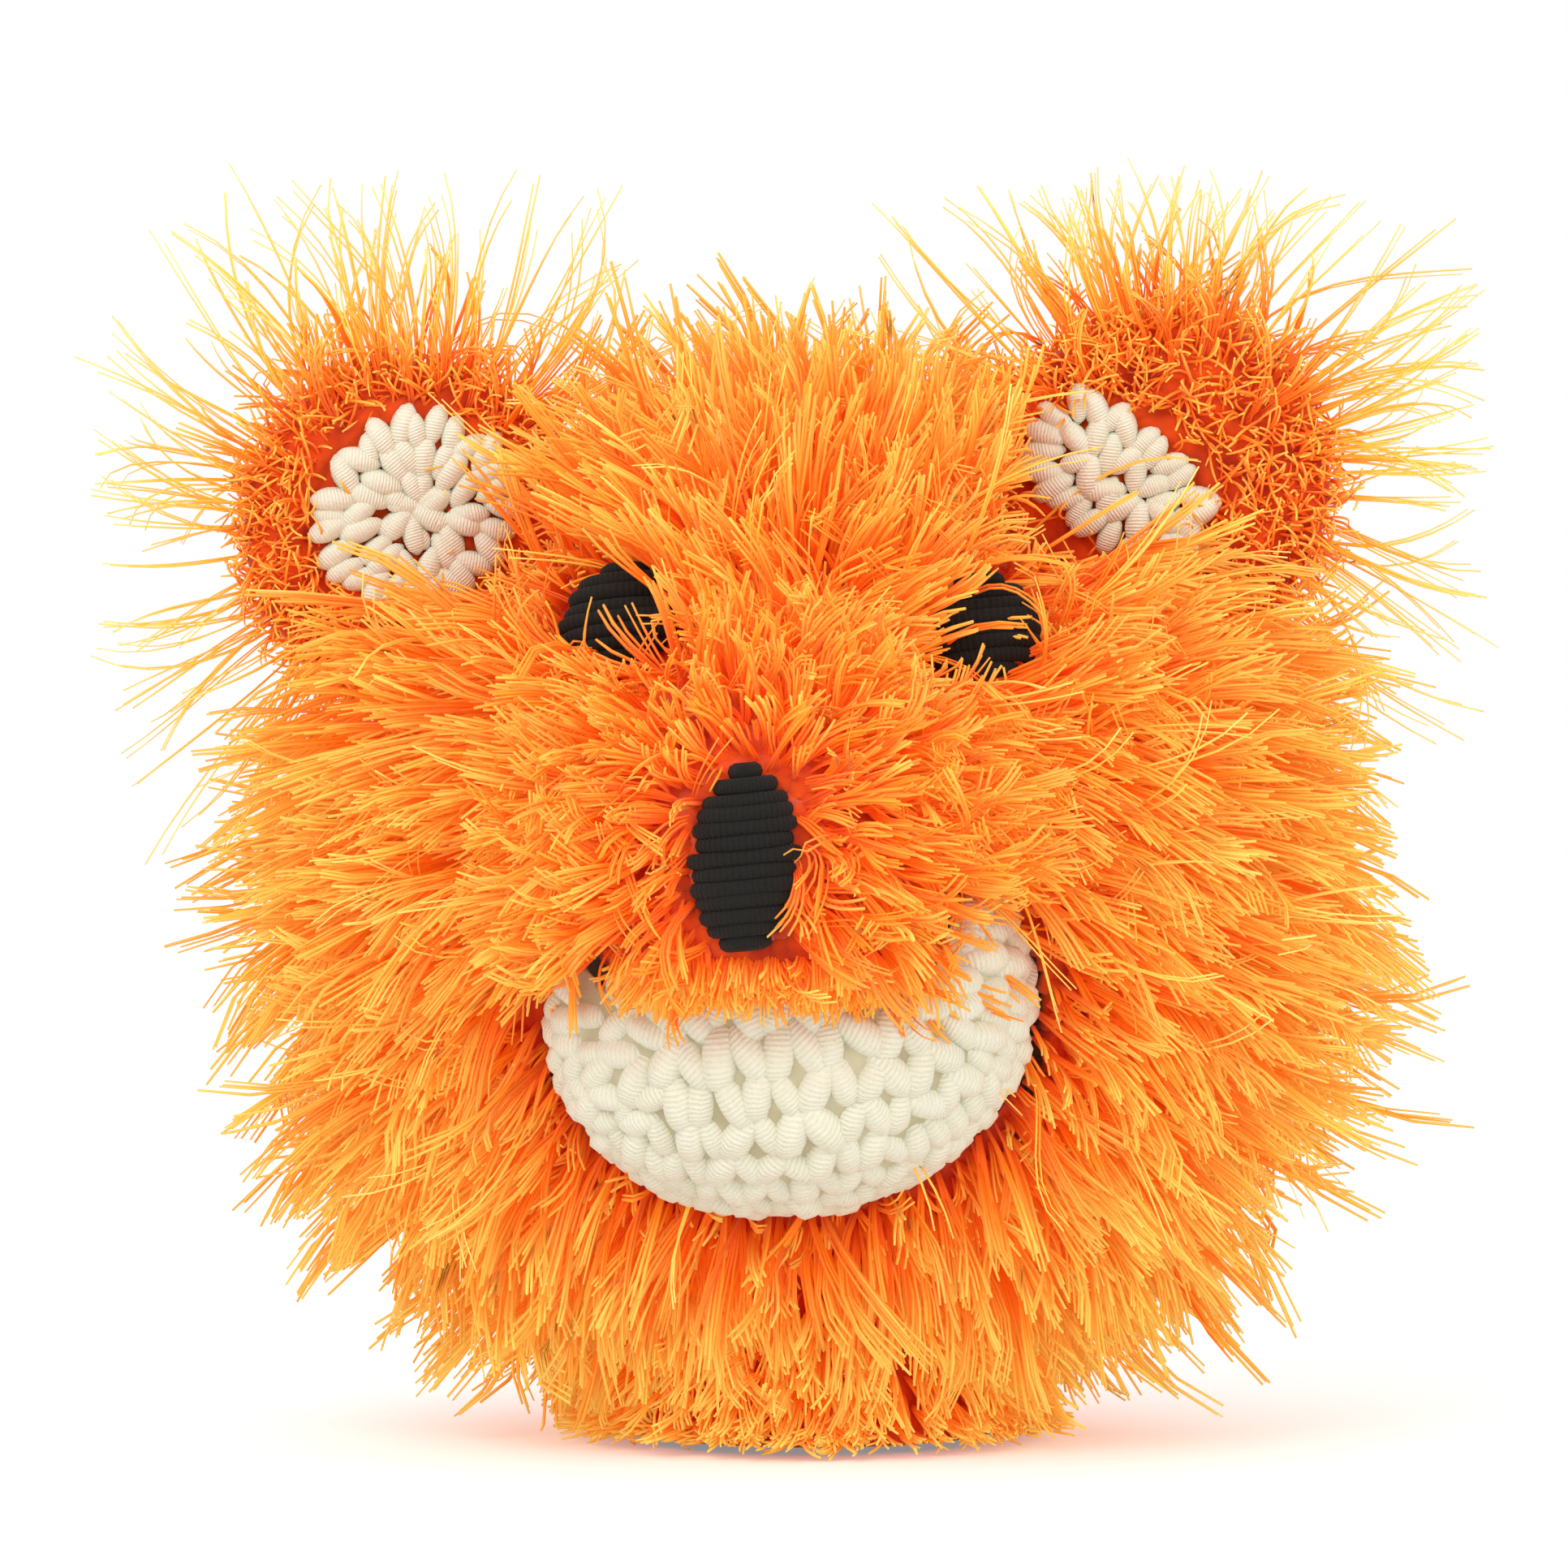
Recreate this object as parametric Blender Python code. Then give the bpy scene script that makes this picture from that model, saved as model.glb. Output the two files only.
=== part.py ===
"""Crocheted animal-head hand puppet in eyelash yarn, with a jaw that opens and ears that flop.

Metres, +Z up. The face looks along -Y, and left and right are the puppet's own, so left is +X.
Sizes are written in millimetres and turned into metres by MM. The head's own frame has its origin
on the floor under the head's centre; centre_on_base() then moves the whole puppet so that the
middle of its box stands on the world's origin.

A hand goes up through the neck cuff: the fingers lie in the snout, on the upper mouth plate, and
the thumb lies in the jaw, under the lower mouth plate. The two plates are glued to felts that turn
about a cord in the fold of the mouth.
"""

import math

import bmesh
import bpy
from mathutils import Matrix, Vector

MM = 0.001

# Fits, in millimetres.
SEAT_GAP = 0.3  # between pieces that are sewn, glued or laid together
SWING_GAP = 1.0  # between a moving piece's path and what it passes

# Head: the crocheted fabric's outside, and the pile that stands on it.
HEAD_HEIGHT = 80.0
HEAD_RADII = Vector((57.0, 46.0, 57.0))
KNIT = 4.0  # thickness of the eyelash-yarn fabric
HEAD_PILE = Vector((15.0, 8.0, 15.0))  # packed depth of the lashes

# Neck cuff and the lining that the hand slides into.
NECK_BACK = 4.0  # the neck's centre behind the head's
CUFF_BORE = 22.0
CUFF_WALL = 6.0
CUFF_HEIGHT = 26.0
LINING_WALL = 1.5
LINING_LIFT = 1.5  # lining's hem above the floor
LINING_TOP = 118.0
LINING_DOOR_BACK = -6.0  # the lining is open in front of this plane
LINING_DOOR_HEIGHTS = (29.0, 106.0)
STUFFING_FRONT = -11.0  # below the lining's door, the stuffing stays behind this plane

# Snout: a crocheted cup with a flat underside.
SNOUT_PLACE = Vector((-7.0, -44.0, 85.0))
SNOUT_RADII = Vector((24.0, 30.0, 25.0))
SNOUT_PILE = 3.5
SNOUT_BACK = -38.0  # the cup's open rim
SNOUT_PAD_DEPTH = 12.0  # stuffing in the tip

# Mouth: two felts and two plates that turn about a cord.
HINGE_BACK = -15.0
MOUTH_HEIGHT = 67.0
FELT = 1.3
PLATE = 1.6
CORD_RADIUS = 1.2
KNUCKLE_WALL = 1.2
JAW_FELT_INSET = 2.2  # inside the cup, which narrows toward its rim
KNUCKLE_SPAN = 36.0
JAW_KNUCKLE = 12.0
JAW_OPENING = 20.0  # degrees

# Jaw: a cream crocheted cup, sewn on a little turned.
JAW_PLACE = Vector((-3.0, -38.0, 62.0))
JAW_RADII = Vector((34.0, 26.0, 27.5))
JAW_WALL = 3.5
JAW_ROLL = -8.0  # degrees about +Y; the puppet's left corner is the higher
JAW_BACK = -34.0
JAW_PAD_DEPTH = 7.0
WEB_TOP = 52.0  # height that the throat's fabric reaches beside the jaw

# Ears, in a frame with X along the seam and Z away from the head.
EAR_LEANS = {"left": 41.0, "right": -48.4}  # degrees from upright, about +Y
EAR_RADII = Vector((24.0, 7.0, 24.0))
EAR_PILE = Vector((10.0, 1.0, 10.0))
EAR_RISE = 19.0  # the ear's centre above its seam
EAR_FOOT = 2.2  # half the ear's thickness at the seam
EAR_FLANK = 40.0  # degrees that the foot's sides lean out
EAR_SWING = 18.0
DISH_RADII = Vector((16.0, 6.0, 14.0))
DISH_RISE = 20.0
DISH_SHIFTS = {"left": -3.0, "right": 0.0}  # along the seam
LINING_INSET = 2.4  # the cream lining's face behind the ear's face
SEAM_YARN = 1.1  # radius of the sewing yarn

# Eyes and nose: black yarn pads on flat seats in the pile.
EYE_PLACES = {"left": (23.0, 115.5), "right": (-26.0, 117.0)}
EYE_RADIUS = 8.0
EYE_DOME = 4.2
EYE_LIFT = 2.5  # the seat above the fabric, in the pile
NOSE_PLACE = (-9.2, 85.7)
NOSE_RADII = (6.8, 13.0)
NOSE_DOME = 5.2
NOSE_LIFT = -1.5
NOSE_ROLL = 5.0
SOCKET_FLARE = 1.35  # how much wider a socket is at its mouth
SOCKET_DEPTH = 20.0

BIG_ROUND = (36, 18)  # segments and rings of the head
MID_ROUND = (28, 14)
SMALL_ROUND = (20, 10)
FAR = 150.0  # half-size of a cutting block

MATERIALS = {
    "fur_yarn": ((0.95, 0.24, 0.02), 0.75, 0.0),
    "cream_yarn": ((0.87, 0.82, 0.66), 0.85, 0.0),
    "black_yarn": ((0.012, 0.012, 0.012), 0.7, 0.0),
    "lining_cloth": ((0.78, 0.42, 0.16), 0.85, 0.0),
    "stuffing": ((0.86, 0.86, 0.84), 0.95, 0.0),
    "mouth_felt": ((0.45, 0.05, 0.05), 0.9, 0.0),
    "plate_board": ((0.62, 0.58, 0.50), 0.6, 0.0),
}

HEAD_CENTRE = Vector((0.0, 0.0, HEAD_HEIGHT))
HINGE = Vector((JAW_PLACE.x, HINGE_BACK, MOUTH_HEIGHT))


# ---------------------------------------------------------------- scene and small helpers


def clear_scene():
    for obj in list(bpy.data.objects):
        bpy.data.objects.remove(obj)


def new_collection(name):
    made = bpy.data.collections.new(name)
    bpy.context.scene.collection.children.link(made)
    return made


def make_materials():
    made = {}
    for name, (colour, roughness, metallic) in MATERIALS.items():
        material = bpy.data.materials.new(name)
        material.use_nodes = True
        shader = material.node_tree.nodes["Principled BSDF"]
        shader.inputs["Base Color"].default_value = (*colour, 1.0)
        shader.inputs["Roughness"].default_value = roughness
        shader.inputs["Metallic"].default_value = metallic
        made[name] = material
    return made


class Workshop:
    """The collections, materials and empties that every piece is made with."""

    def __init__(self):
        self.parts = new_collection("Hand puppet")
        self.cutters = new_collection("Cutters")
        self.materials = make_materials()
        self.root = self.empty("puppet", Vector())

    def empty(self, name, place, turn=0.0, parent=None):
        """An empty at a place in millimetres, turned about +Y by degrees."""
        obj = bpy.data.objects.new(name, None)
        self.parts.objects.link(obj)
        obj.location = place * MM
        obj.rotation_euler = (0.0, math.radians(turn), 0.0)
        obj.parent = parent
        return obj

    def place(self, name, data, parent, offset, collection):
        obj = bpy.data.objects.new(name, data)
        collection.objects.link(obj)
        obj.parent = parent
        obj.location = offset * MM
        return obj

    def part(self, name, data, parent, material, offset=None):
        """A piece of the puppet; offset is where its data's origin lies in its parent's frame."""
        obj = self.place(name, data, parent, offset or Vector(), self.parts)
        data.materials.append(self.materials[material])
        if isinstance(data, bpy.types.Mesh):
            data.shade_smooth()
            data.set_sharp_from_angle(angle=math.radians(35))
        return obj

    def cutter(self, name, data, parent, offset=None, turn=None):
        obj = self.place(name, data, parent, offset or Vector(), self.cutters)
        if turn is not None:
            obj.rotation_euler = turn
        obj.hide_render = True
        obj.display_type = "WIRE"
        return obj


def cut(obj, *cutters, keep=False):
    """Takes each cutter from obj, or keeps only what lies in it."""
    for cutter in cutters:
        modifier = obj.modifiers.new(cutter.name, "BOOLEAN")
        modifier.operation = "INTERSECT" if keep else "DIFFERENCE"
        modifier.object = cutter


def join(obj, *others):
    for other in others:
        modifier = obj.modifiers.new(other.name, "BOOLEAN")
        modifier.operation = "UNION"
        modifier.object = other


def mesh_from(name, build):
    """A mesh that build(bm) makes in millimetres, brought to metres."""
    bm = bmesh.new()
    build(bm)
    bmesh.ops.scale(bm, vec=Vector((MM, MM, MM)), verts=bm.verts)
    bmesh.ops.recalc_face_normals(bm, faces=bm.faces)
    mesh = bpy.data.meshes.new(name)
    bm.to_mesh(mesh)
    bm.free()
    return mesh


def hull_of_points(bm):
    """Closes a cloud of loose points with their convex hull."""
    hull = bmesh.ops.convex_hull(bm, input=bm.verts)
    inner = [v for v in hull["geom_interior"] if isinstance(v, bmesh.types.BMVert)]
    bmesh.ops.delete(bm, geom=inner, context="VERTS")


def grown(radii, by):
    return Vector([r + by for r in radii])


def ellipsoid(name, radii, detail, roll=0.0):
    """An ellipsoid about its origin, turned about +Y by roll degrees."""

    def build(bm):
        segments, rings = detail
        bmesh.ops.create_uvsphere(bm, u_segments=segments, v_segments=rings, radius=1.0)
        bmesh.ops.scale(bm, vec=radii, verts=bm.verts)
        turn = Matrix.Rotation(math.radians(roll), 3, "Y")
        bmesh.ops.rotate(bm, cent=Vector(), matrix=turn, verts=bm.verts)

    return mesh_from(name, build)


def block(name, low, high):
    """A box between two corners."""

    def build(bm):
        bmesh.ops.create_cube(bm, size=1.0)
        bmesh.ops.scale(bm, vec=high - low, verts=bm.verts)
        bmesh.ops.translate(bm, vec=(high + low) / 2, verts=bm.verts)

    return mesh_from(name, build)


def cone(name, radius_low, radius_high, low, high, axis="Z", detail=32):
    """A cone or cylinder from low to high along +Z, or turned to lie along +X or to face -Y."""

    def build(bm):
        bmesh.ops.create_cone(
            bm,
            cap_ends=True,
            segments=detail,
            radius1=radius_low,
            radius2=radius_high,
            depth=high - low,
        )
        bmesh.ops.translate(bm, vec=Vector((0, 0, (high + low) / 2)), verts=bm.verts)
        turns = {"Z": (0, "X"), "X": (90, "Y"), "-Y": (90, "X")}
        degrees, about = turns[axis]
        turn = Matrix.Rotation(math.radians(degrees), 3, about)
        bmesh.ops.rotate(bm, cent=Vector(), matrix=turn, verts=bm.verts)

    return mesh_from(name, build)


def capsule(name, radius, low, top, detail=32, rings=6):
    """A round-topped post: a half profile turned about +Z by a Screw-like spin."""

    def build(bm):
        shoulder = top - radius
        profile = [(0.0, low), (radius, low), (radius, shoulder)]
        for i in range(1, rings + 1):
            angle = math.pi / 2 * i / rings
            profile.append(
                (radius * math.cos(angle), shoulder + radius * math.sin(angle))
            )
        profile[-1] = (0.0, top)
        points = [bm.verts.new((x, 0.0, z)) for x, z in profile]
        edges = [bm.edges.new(pair) for pair in zip(points, points[1:])]
        bmesh.ops.spin(
            bm,
            geom=points + edges,
            cent=Vector(),
            axis=Vector((0, 0, 1)),
            angle=math.tau,
            steps=detail,
            use_merge=True,
        )
        bmesh.ops.remove_doubles(bm, verts=bm.verts, dist=0.01)

    return mesh_from(name, build)


def yarn_tube(name, points, radius):
    """A run of sewing yarn through a list of points, as a bevelled curve with closed ends."""
    curve = bpy.data.curves.new(name, "CURVE")
    curve.dimensions = "3D"
    curve.bevel_depth = radius * MM
    curve.bevel_resolution = 2
    curve.use_fill_caps = True
    spline = curve.splines.new("POLY")
    spline.points.add(len(points) - 1)
    for slot, point in zip(spline.points, points):
        slot.co = (*(point * MM), 1.0)
    return curve


def surface_depth(radii, place, x, z):
    """How far in front of an ellipsoid's centre its skin lies, at x and z in the head's frame."""
    across = ((x - place.x) / radii.x) ** 2 + ((z - place.z) / radii.z) ** 2
    return radii.y * math.sqrt(1.0 - across)


# ---------------------------------------------------------------- shapes that several pieces share


def snout_body(shop, name, grow, floor=None):
    """The snout with its pile, cut flat at floor if it has one, to cut its room elsewhere."""
    body = shop.cutter(
        name,
        ellipsoid(name, grown(SNOUT_RADII, SNOUT_PILE + grow), MID_ROUND),
        shop.root,
        SNOUT_PLACE,
    )
    if floor is not None:
        below = Vector((FAR, FAR, floor))
        base = block(name + "_base", Vector((-FAR, -FAR, -FAR)), below)
        cut(body, shop.cutter(name + "_base", base, shop.root))
    return body


def jaw_path(shop, name, clearance):
    """Everything the jaw passes from shut to open: the hull of its shape at a few angles."""
    radii = grown(JAW_RADII, clearance)
    roll = Matrix.Rotation(math.radians(JAW_ROLL), 3, "Y")
    half = KNUCKLE_SPAN / 2 + clearance
    deck = MOUTH_HEIGHT - FELT - PLATE - clearance
    steps = 5

    def build(bm):
        for step in range(steps):
            turn = Matrix.Rotation(
                math.radians(JAW_OPENING * step / (steps - 1)), 3, "X"
            )
            shape = bmesh.ops.create_uvsphere(
                bm, u_segments=SMALL_ROUND[0], v_segments=SMALL_ROUND[1], radius=1.0
            )["verts"]
            bmesh.ops.scale(bm, vec=radii, verts=shape)
            bmesh.ops.rotate(bm, cent=Vector(), matrix=roll, verts=shape)
            bmesh.ops.translate(bm, vec=JAW_PLACE, verts=shape)
            for x in (-half, half):
                for z in (deck, MOUTH_HEIGHT + FELT + PLATE + clearance):
                    shape.append(
                        bm.verts.new((JAW_PLACE.x + x, HINGE_BACK + CORD_RADIUS, z))
                    )
            bmesh.ops.rotate(bm, cent=HINGE, matrix=turn, verts=shape)
        skin = bm.edges[:] + bm.faces[:]
        bmesh.ops.delete(bm, geom=skin, context="EDGES_FACES")
        hull_of_points(bm)

    return shop.cutter(name, mesh_from(name, build), shop.root)


def neck_post(shop, name, radius, low, top):
    """A plain cylinder on the neck's axis."""
    data = cone(name, radius, radius, low, top)
    return shop.cutter(name, data, shop.root, Vector((0, NECK_BACK, 0)))


# ---------------------------------------------------------------- head and neck


def make_head_shell(shop, window, sockets):
    outer = Vector([r + p for r, p in zip(HEAD_RADII, HEAD_PILE)])
    shell = shop.part(
        "head_shell",
        ellipsoid("head_shell", outer, BIG_ROUND),
        shop.root,
        "fur_yarn",
        HEAD_CENTRE,
    )
    hollow = shop.cutter(
        "head_hollow",
        ellipsoid("head_hollow", grown(HEAD_RADII, -KNIT), MID_ROUND),
        shop.root,
        HEAD_CENTRE,
    )
    neck = neck_post(
        shop,
        "neck_hole",
        CUFF_BORE + CUFF_WALL + SEAT_GAP,
        -FAR,
        HEAD_HEIGHT - HEAD_RADII.z / 2,
    )
    snout = snout_body(shop, "snout_hole", SEAT_GAP)
    cut(shell, hollow, neck, snout, window, *sockets)
    return shell


def make_neck_cuff(shop):
    wall = cone("neck_cuff", *[CUFF_BORE + CUFF_WALL] * 2, 0.0, CUFF_HEIGHT)
    cuff = shop.part(
        "neck_cuff", wall, shop.root, "fur_yarn", Vector((0, NECK_BACK, 0))
    )
    cut(cuff, neck_post(shop, "cuff_bore", CUFF_BORE, -CUFF_HEIGHT, 2 * CUFF_HEIGHT))


def make_hand_lining(shop):
    radius = CUFF_BORE - SEAT_GAP
    place = Vector((0, NECK_BACK, 0))
    lining = shop.part(
        "hand_lining",
        capsule("hand_lining", radius, LINING_LIFT, LINING_TOP),
        shop.root,
        "lining_cloth",
        place,
    )
    inside = capsule(
        "lining_inside",
        radius - LINING_WALL,
        LINING_LIFT - CUFF_HEIGHT,
        LINING_TOP - LINING_WALL,
    )
    low, high = LINING_DOOR_HEIGHTS
    door = block(
        "lining_door", Vector((-FAR, -FAR, low)), Vector((FAR, LINING_DOOR_BACK, high))
    )
    cut(
        lining,
        shop.cutter("lining_inside", inside, shop.root, place),
        shop.cutter("lining_door", door, shop.root),
    )


def make_head_stuffing(shop):
    radii = grown(HEAD_RADII, -KNIT - SEAT_GAP)
    stuffing = shop.part(
        "head_stuffing",
        ellipsoid("head_stuffing", radii, MID_ROUND),
        shop.root,
        "stuffing",
        HEAD_CENTRE,
    )
    pocket = capsule("stuffing_pocket", CUFF_BORE, -FAR, LINING_TOP + SEAT_GAP)
    front = block(
        "stuffing_front",
        Vector((-FAR, -FAR, -FAR)),
        Vector((FAR, STUFFING_FRONT, SNOUT_PLACE.z + SNOUT_RADII.z)),
    )
    cut(
        stuffing,
        shop.cutter("stuffing_pocket", pocket, shop.root, Vector((0, NECK_BACK, 0))),
        shop.cutter("stuffing_front", front, shop.root),
        jaw_path(shop, "stuffing_jaw_path", SWING_GAP),
    )


# ---------------------------------------------------------------- snout


def snout_floor():
    """Height of the snout's flat underside, on the upper mouth plate."""
    return MOUTH_HEIGHT + SEAT_GAP / 2 + FELT + SEAT_GAP + PLATE + SEAT_GAP


def behind(shop, name, plane):
    """A block that takes away everything behind a plane across the head."""
    low, high = Vector((-FAR, plane, -FAR)), Vector((FAR, FAR, FAR))
    return shop.cutter(name, block(name, low, high), shop.root, HEAD_CENTRE)


def make_snout_cover(shop):
    cover = shop.part(
        "snout_cover",
        ellipsoid("snout_cover", grown(SNOUT_RADII, SNOUT_PILE), MID_ROUND),
        shop.root,
        "fur_yarn",
        SNOUT_PLACE,
    )
    inside = ellipsoid("snout_inside", grown(SNOUT_RADII, -KNIT), MID_ROUND)
    below = block(
        "snout_below", Vector((-FAR, -FAR, -FAR)), Vector((FAR, FAR, snout_floor()))
    )
    cut(
        cover,
        shop.cutter("snout_inside", inside, shop.root, SNOUT_PLACE),
        shop.cutter("snout_below", below, shop.root),
        behind(shop, "snout_behind", SNOUT_BACK),
        nose_socket(shop),
    )


def make_snout_stuffing(shop):
    radii = grown(SNOUT_RADII, -KNIT - SEAT_GAP)
    pad = shop.part(
        "snout_stuffing",
        ellipsoid("snout_stuffing", radii, MID_ROUND),
        shop.root,
        "stuffing",
        SNOUT_PLACE,
    )
    front = SNOUT_PLACE.y - radii.y
    keep = block(
        "snout_pad_room",
        Vector((-FAR, -FAR, snout_floor())),
        Vector((FAR, front + SNOUT_PAD_DEPTH, FAR)),
    )
    cut(pad, shop.cutter("snout_pad_room", keep, shop.root), keep=True)


def make_snout_seam(shop):
    """The yarn that whips the snout's rim to the face, above the mouth."""
    ring = grown(SNOUT_RADII, -KNIT / 2)
    back = SNOUT_BACK + SEAT_GAP + SEAM_YARN
    share = math.sqrt(1.0 - ((SNOUT_BACK - SNOUT_PLACE.y) / ring.y) ** 2)
    low = (snout_floor() + SEAM_YARN - SNOUT_PLACE.z) / (ring.z * share)
    start = math.asin(low)
    steps = 22
    points = []
    for i in range(steps + 1):
        angle = start + (math.pi - 2 * start) * i / steps
        x = SNOUT_PLACE.x + ring.x * share * math.cos(angle)
        z = SNOUT_PLACE.z + ring.z * share * math.sin(angle)
        points.append(Vector((x, back, z)))
    shop.part(
        "snout_seam_yarn",
        yarn_tube("snout_seam_yarn", points, SEAM_YARN),
        shop.root,
        "fur_yarn",
    )


# ---------------------------------------------------------------- mouth


def sheet_outline(front, half_width, half_length, back):
    """Half an ellipse in front, straight sides, and a straight edge at the hinge."""
    steps = 14
    points = [(-half_width, back), (-half_width, front + half_length)]
    for i in range(1, steps):
        angle = math.pi * i / steps
        points.append(
            (
                -half_width * math.cos(angle),
                front + half_length * (1 - math.sin(angle)),
            )
        )
    return points + [(half_width, front + half_length), (half_width, back)]


def sheet(name, outline, low, high, centre_x):
    """A flat sheet, from an outline in X and Y, in the hinge's frame."""

    def build(bm):
        rim = [bm.verts.new((x + centre_x, y, low)) for x, y in outline]
        face = bm.faces.new(rim)
        top = bmesh.ops.extrude_face_region(bm, geom=[face])["geom"]
        lifted = [v for v in top if isinstance(v, bmesh.types.BMVert)]
        bmesh.ops.translate(bm, vec=Vector((0, 0, high - low)), verts=lifted)

    return mesh_from(name, build)


def knuckles(shop, felt, pivot, spans, low, high):
    """Rolls the felt's back edge round the cord, over each span along the hinge."""
    bore = CORD_RADIUS + SEAT_GAP
    rolled = bore + KNUCKLE_WALL
    reach = rolled + 2 * SEAT_GAP + FELT
    for i, (start, end) in enumerate(spans):
        roll = cone(f"{felt.name}_roll{i}", rolled, rolled, start, end, axis="X")
        web = block(
            f"{felt.name}_web{i}", Vector((start, -reach, low)), Vector((end, 0, high))
        )
        join(
            felt,
            shop.cutter(f"{felt.name}_roll{i}", roll, pivot),
            shop.cutter(f"{felt.name}_web{i}", web, pivot),
        )
    hole = cone(felt.name + "_bore", bore, bore, -FAR, FAR, axis="X")
    cut(felt, shop.cutter(felt.name + "_bore", hole, pivot))


def make_mouth(shop, upper, lower):
    """The felts, the stiff plates and the cord; upper and lower are empties on the hinge."""
    bore = CORD_RADIUS + SEAT_GAP
    clear = -(bore + KNUCKLE_WALL + 2 * SEAT_GAP)
    half_gap = SEAT_GAP / 2

    floor = snout_floor() - SNOUT_PLACE.z
    share = math.sqrt(1.0 - (floor / SNOUT_RADII.z) ** 2)
    palate = (SNOUT_RADII.x * share, SNOUT_RADII.y * share)
    palate_front = SNOUT_PLACE.y - palate[1] - HINGE.y
    palate_x = SNOUT_PLACE.x - HINGE.x
    outline = sheet_outline(palate_front, *palate, clear)
    low, high = half_gap, half_gap + FELT
    felt = shop.part(
        "palate_felt",
        sheet("palate_felt", outline, low, high, palate_x),
        upper,
        "mouth_felt",
    )
    end = KNUCKLE_SPAN / 2
    inner = JAW_KNUCKLE / 2 + SEAT_GAP
    knuckles(shop, felt, upper, [(-end, -inner), (inner, end)], low, high)
    low = high + SEAT_GAP
    shop.part(
        "upper_mouth_plate",
        sheet("upper_mouth_plate", outline, low, low + PLATE, palate_x),
        upper,
        "plate_board",
    )

    inside = grown(JAW_RADII, -JAW_WALL)
    share = math.sqrt(1.0 - ((MOUTH_HEIGHT - JAW_PLACE.z) / inside.z) ** 2)
    tongue = (inside.x * share - JAW_FELT_INSET, inside.y * share - JAW_FELT_INSET)
    tongue_front = JAW_PLACE.y - tongue[1] - HINGE.y
    outline = sheet_outline(tongue_front, *tongue, clear)
    low, high = -half_gap - FELT, -half_gap
    felt = shop.part(
        "jaw_felt", sheet("jaw_felt", outline, low, high, 0.0), lower, "mouth_felt"
    )
    knuckles(shop, felt, lower, [(SEAT_GAP - inner, inner - SEAT_GAP)], low, high)
    high = low - SEAT_GAP
    shop.part(
        "lower_mouth_plate",
        sheet("lower_mouth_plate", outline, high - PLATE, high, 0.0),
        lower,
        "plate_board",
    )

    cord = cone("mouth_hinge_cord", CORD_RADIUS, CORD_RADIUS, -end, end, axis="X")
    shop.part("mouth_hinge_cord", cord, upper, "cream_yarn")


# ---------------------------------------------------------------- jaw


def jaw_room(shop, name, low_y, high_y, low_z=-FAR, high_z=FAR):
    """A block across the jaw, in the head's frame, to cut or keep."""
    low, high = Vector((-FAR, low_y, low_z)), Vector((FAR, high_y, high_z))
    return shop.cutter(name, block(name, low, high), shop.root)


def make_jaw_cover(shop, pivot):
    offset = JAW_PLACE - HINGE
    cover = shop.part(
        "jaw_cover",
        ellipsoid("jaw_cover", JAW_RADII, MID_ROUND, JAW_ROLL),
        pivot,
        "cream_yarn",
        offset,
    )
    inside = ellipsoid("jaw_inside", grown(JAW_RADII, -JAW_WALL), MID_ROUND, JAW_ROLL)
    cut(
        cover,
        shop.cutter("jaw_inside", inside, pivot, offset),
        jaw_room(shop, "jaw_behind", JAW_BACK, FAR),
        snout_body(shop, "jaw_snout_room", 2 * SEAT_GAP, MOUTH_HEIGHT - SEAT_GAP / 2),
    )


def make_jaw_stuffing(shop, pivot):
    offset = JAW_PLACE - HINGE
    radii = grown(JAW_RADII, -JAW_WALL - SEAT_GAP)
    pad = shop.part(
        "jaw_stuffing",
        ellipsoid("jaw_stuffing", radii, MID_ROUND, JAW_ROLL),
        pivot,
        "stuffing",
        offset,
    )
    back = JAW_PLACE.y - radii.y + JAW_PAD_DEPTH
    top = MOUTH_HEIGHT - FELT - PLATE - 3 * SEAT_GAP
    cut(pad, jaw_room(shop, "jaw_pad_room", -FAR, back, high_z=top), keep=True)


def make_throat_web(shop):
    """The soft fabric between the jaw's underside and the neck, which folds as the jaw opens."""
    web = shop.part(
        "throat_web",
        ellipsoid("throat_web", HEAD_RADII, BIG_ROUND),
        shop.root,
        "fur_yarn",
        HEAD_CENTRE,
    )
    hollow = ellipsoid("web_hollow", grown(HEAD_RADII, -KNIT), MID_ROUND)
    jaw = ellipsoid("web_jaw", grown(JAW_RADII, SWING_GAP), MID_ROUND, JAW_ROLL)
    above = block("web_above", Vector((-FAR, -FAR, WEB_TOP)), Vector((FAR, FAR, FAR)))
    cut(
        web,
        shop.cutter("web_hollow", hollow, shop.root, HEAD_CENTRE),
        shop.cutter("web_jaw", jaw, shop.root, JAW_PLACE),
        shop.cutter("web_above", above, shop.root),
    )
    cut(web, jaw_path(shop, "web_room", SWING_GAP - SEAT_GAP), keep=True)


def make_jaw_seam(shop, pivot):
    """The yarn along the jaw's lower rim, where the cup is sewn to the throat."""
    ring = grown(JAW_RADII, -JAW_WALL / 2)
    back = JAW_BACK + SEAT_GAP + SEAM_YARN
    share = math.sqrt(1.0 - ((JAW_BACK - JAW_PLACE.y) / ring.y) ** 2)
    roll = Matrix.Rotation(math.radians(JAW_ROLL), 3, "Y")
    steps = 18
    points = []
    for i in range(steps + 1):
        angle = math.pi * (1.05 + 0.9 * i / steps)
        rim = Vector(
            (ring.x * share * math.cos(angle), 0.0, ring.z * share * math.sin(angle))
        )
        point = roll @ rim + JAW_PLACE
        point.y = back
        points.append(point - HINGE)
    shop.part(
        "jaw_seam_yarn",
        yarn_tube("jaw_seam_yarn", points, SEAM_YARN),
        pivot,
        "cream_yarn",
    )


# ---------------------------------------------------------------- eyes and nose


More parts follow.
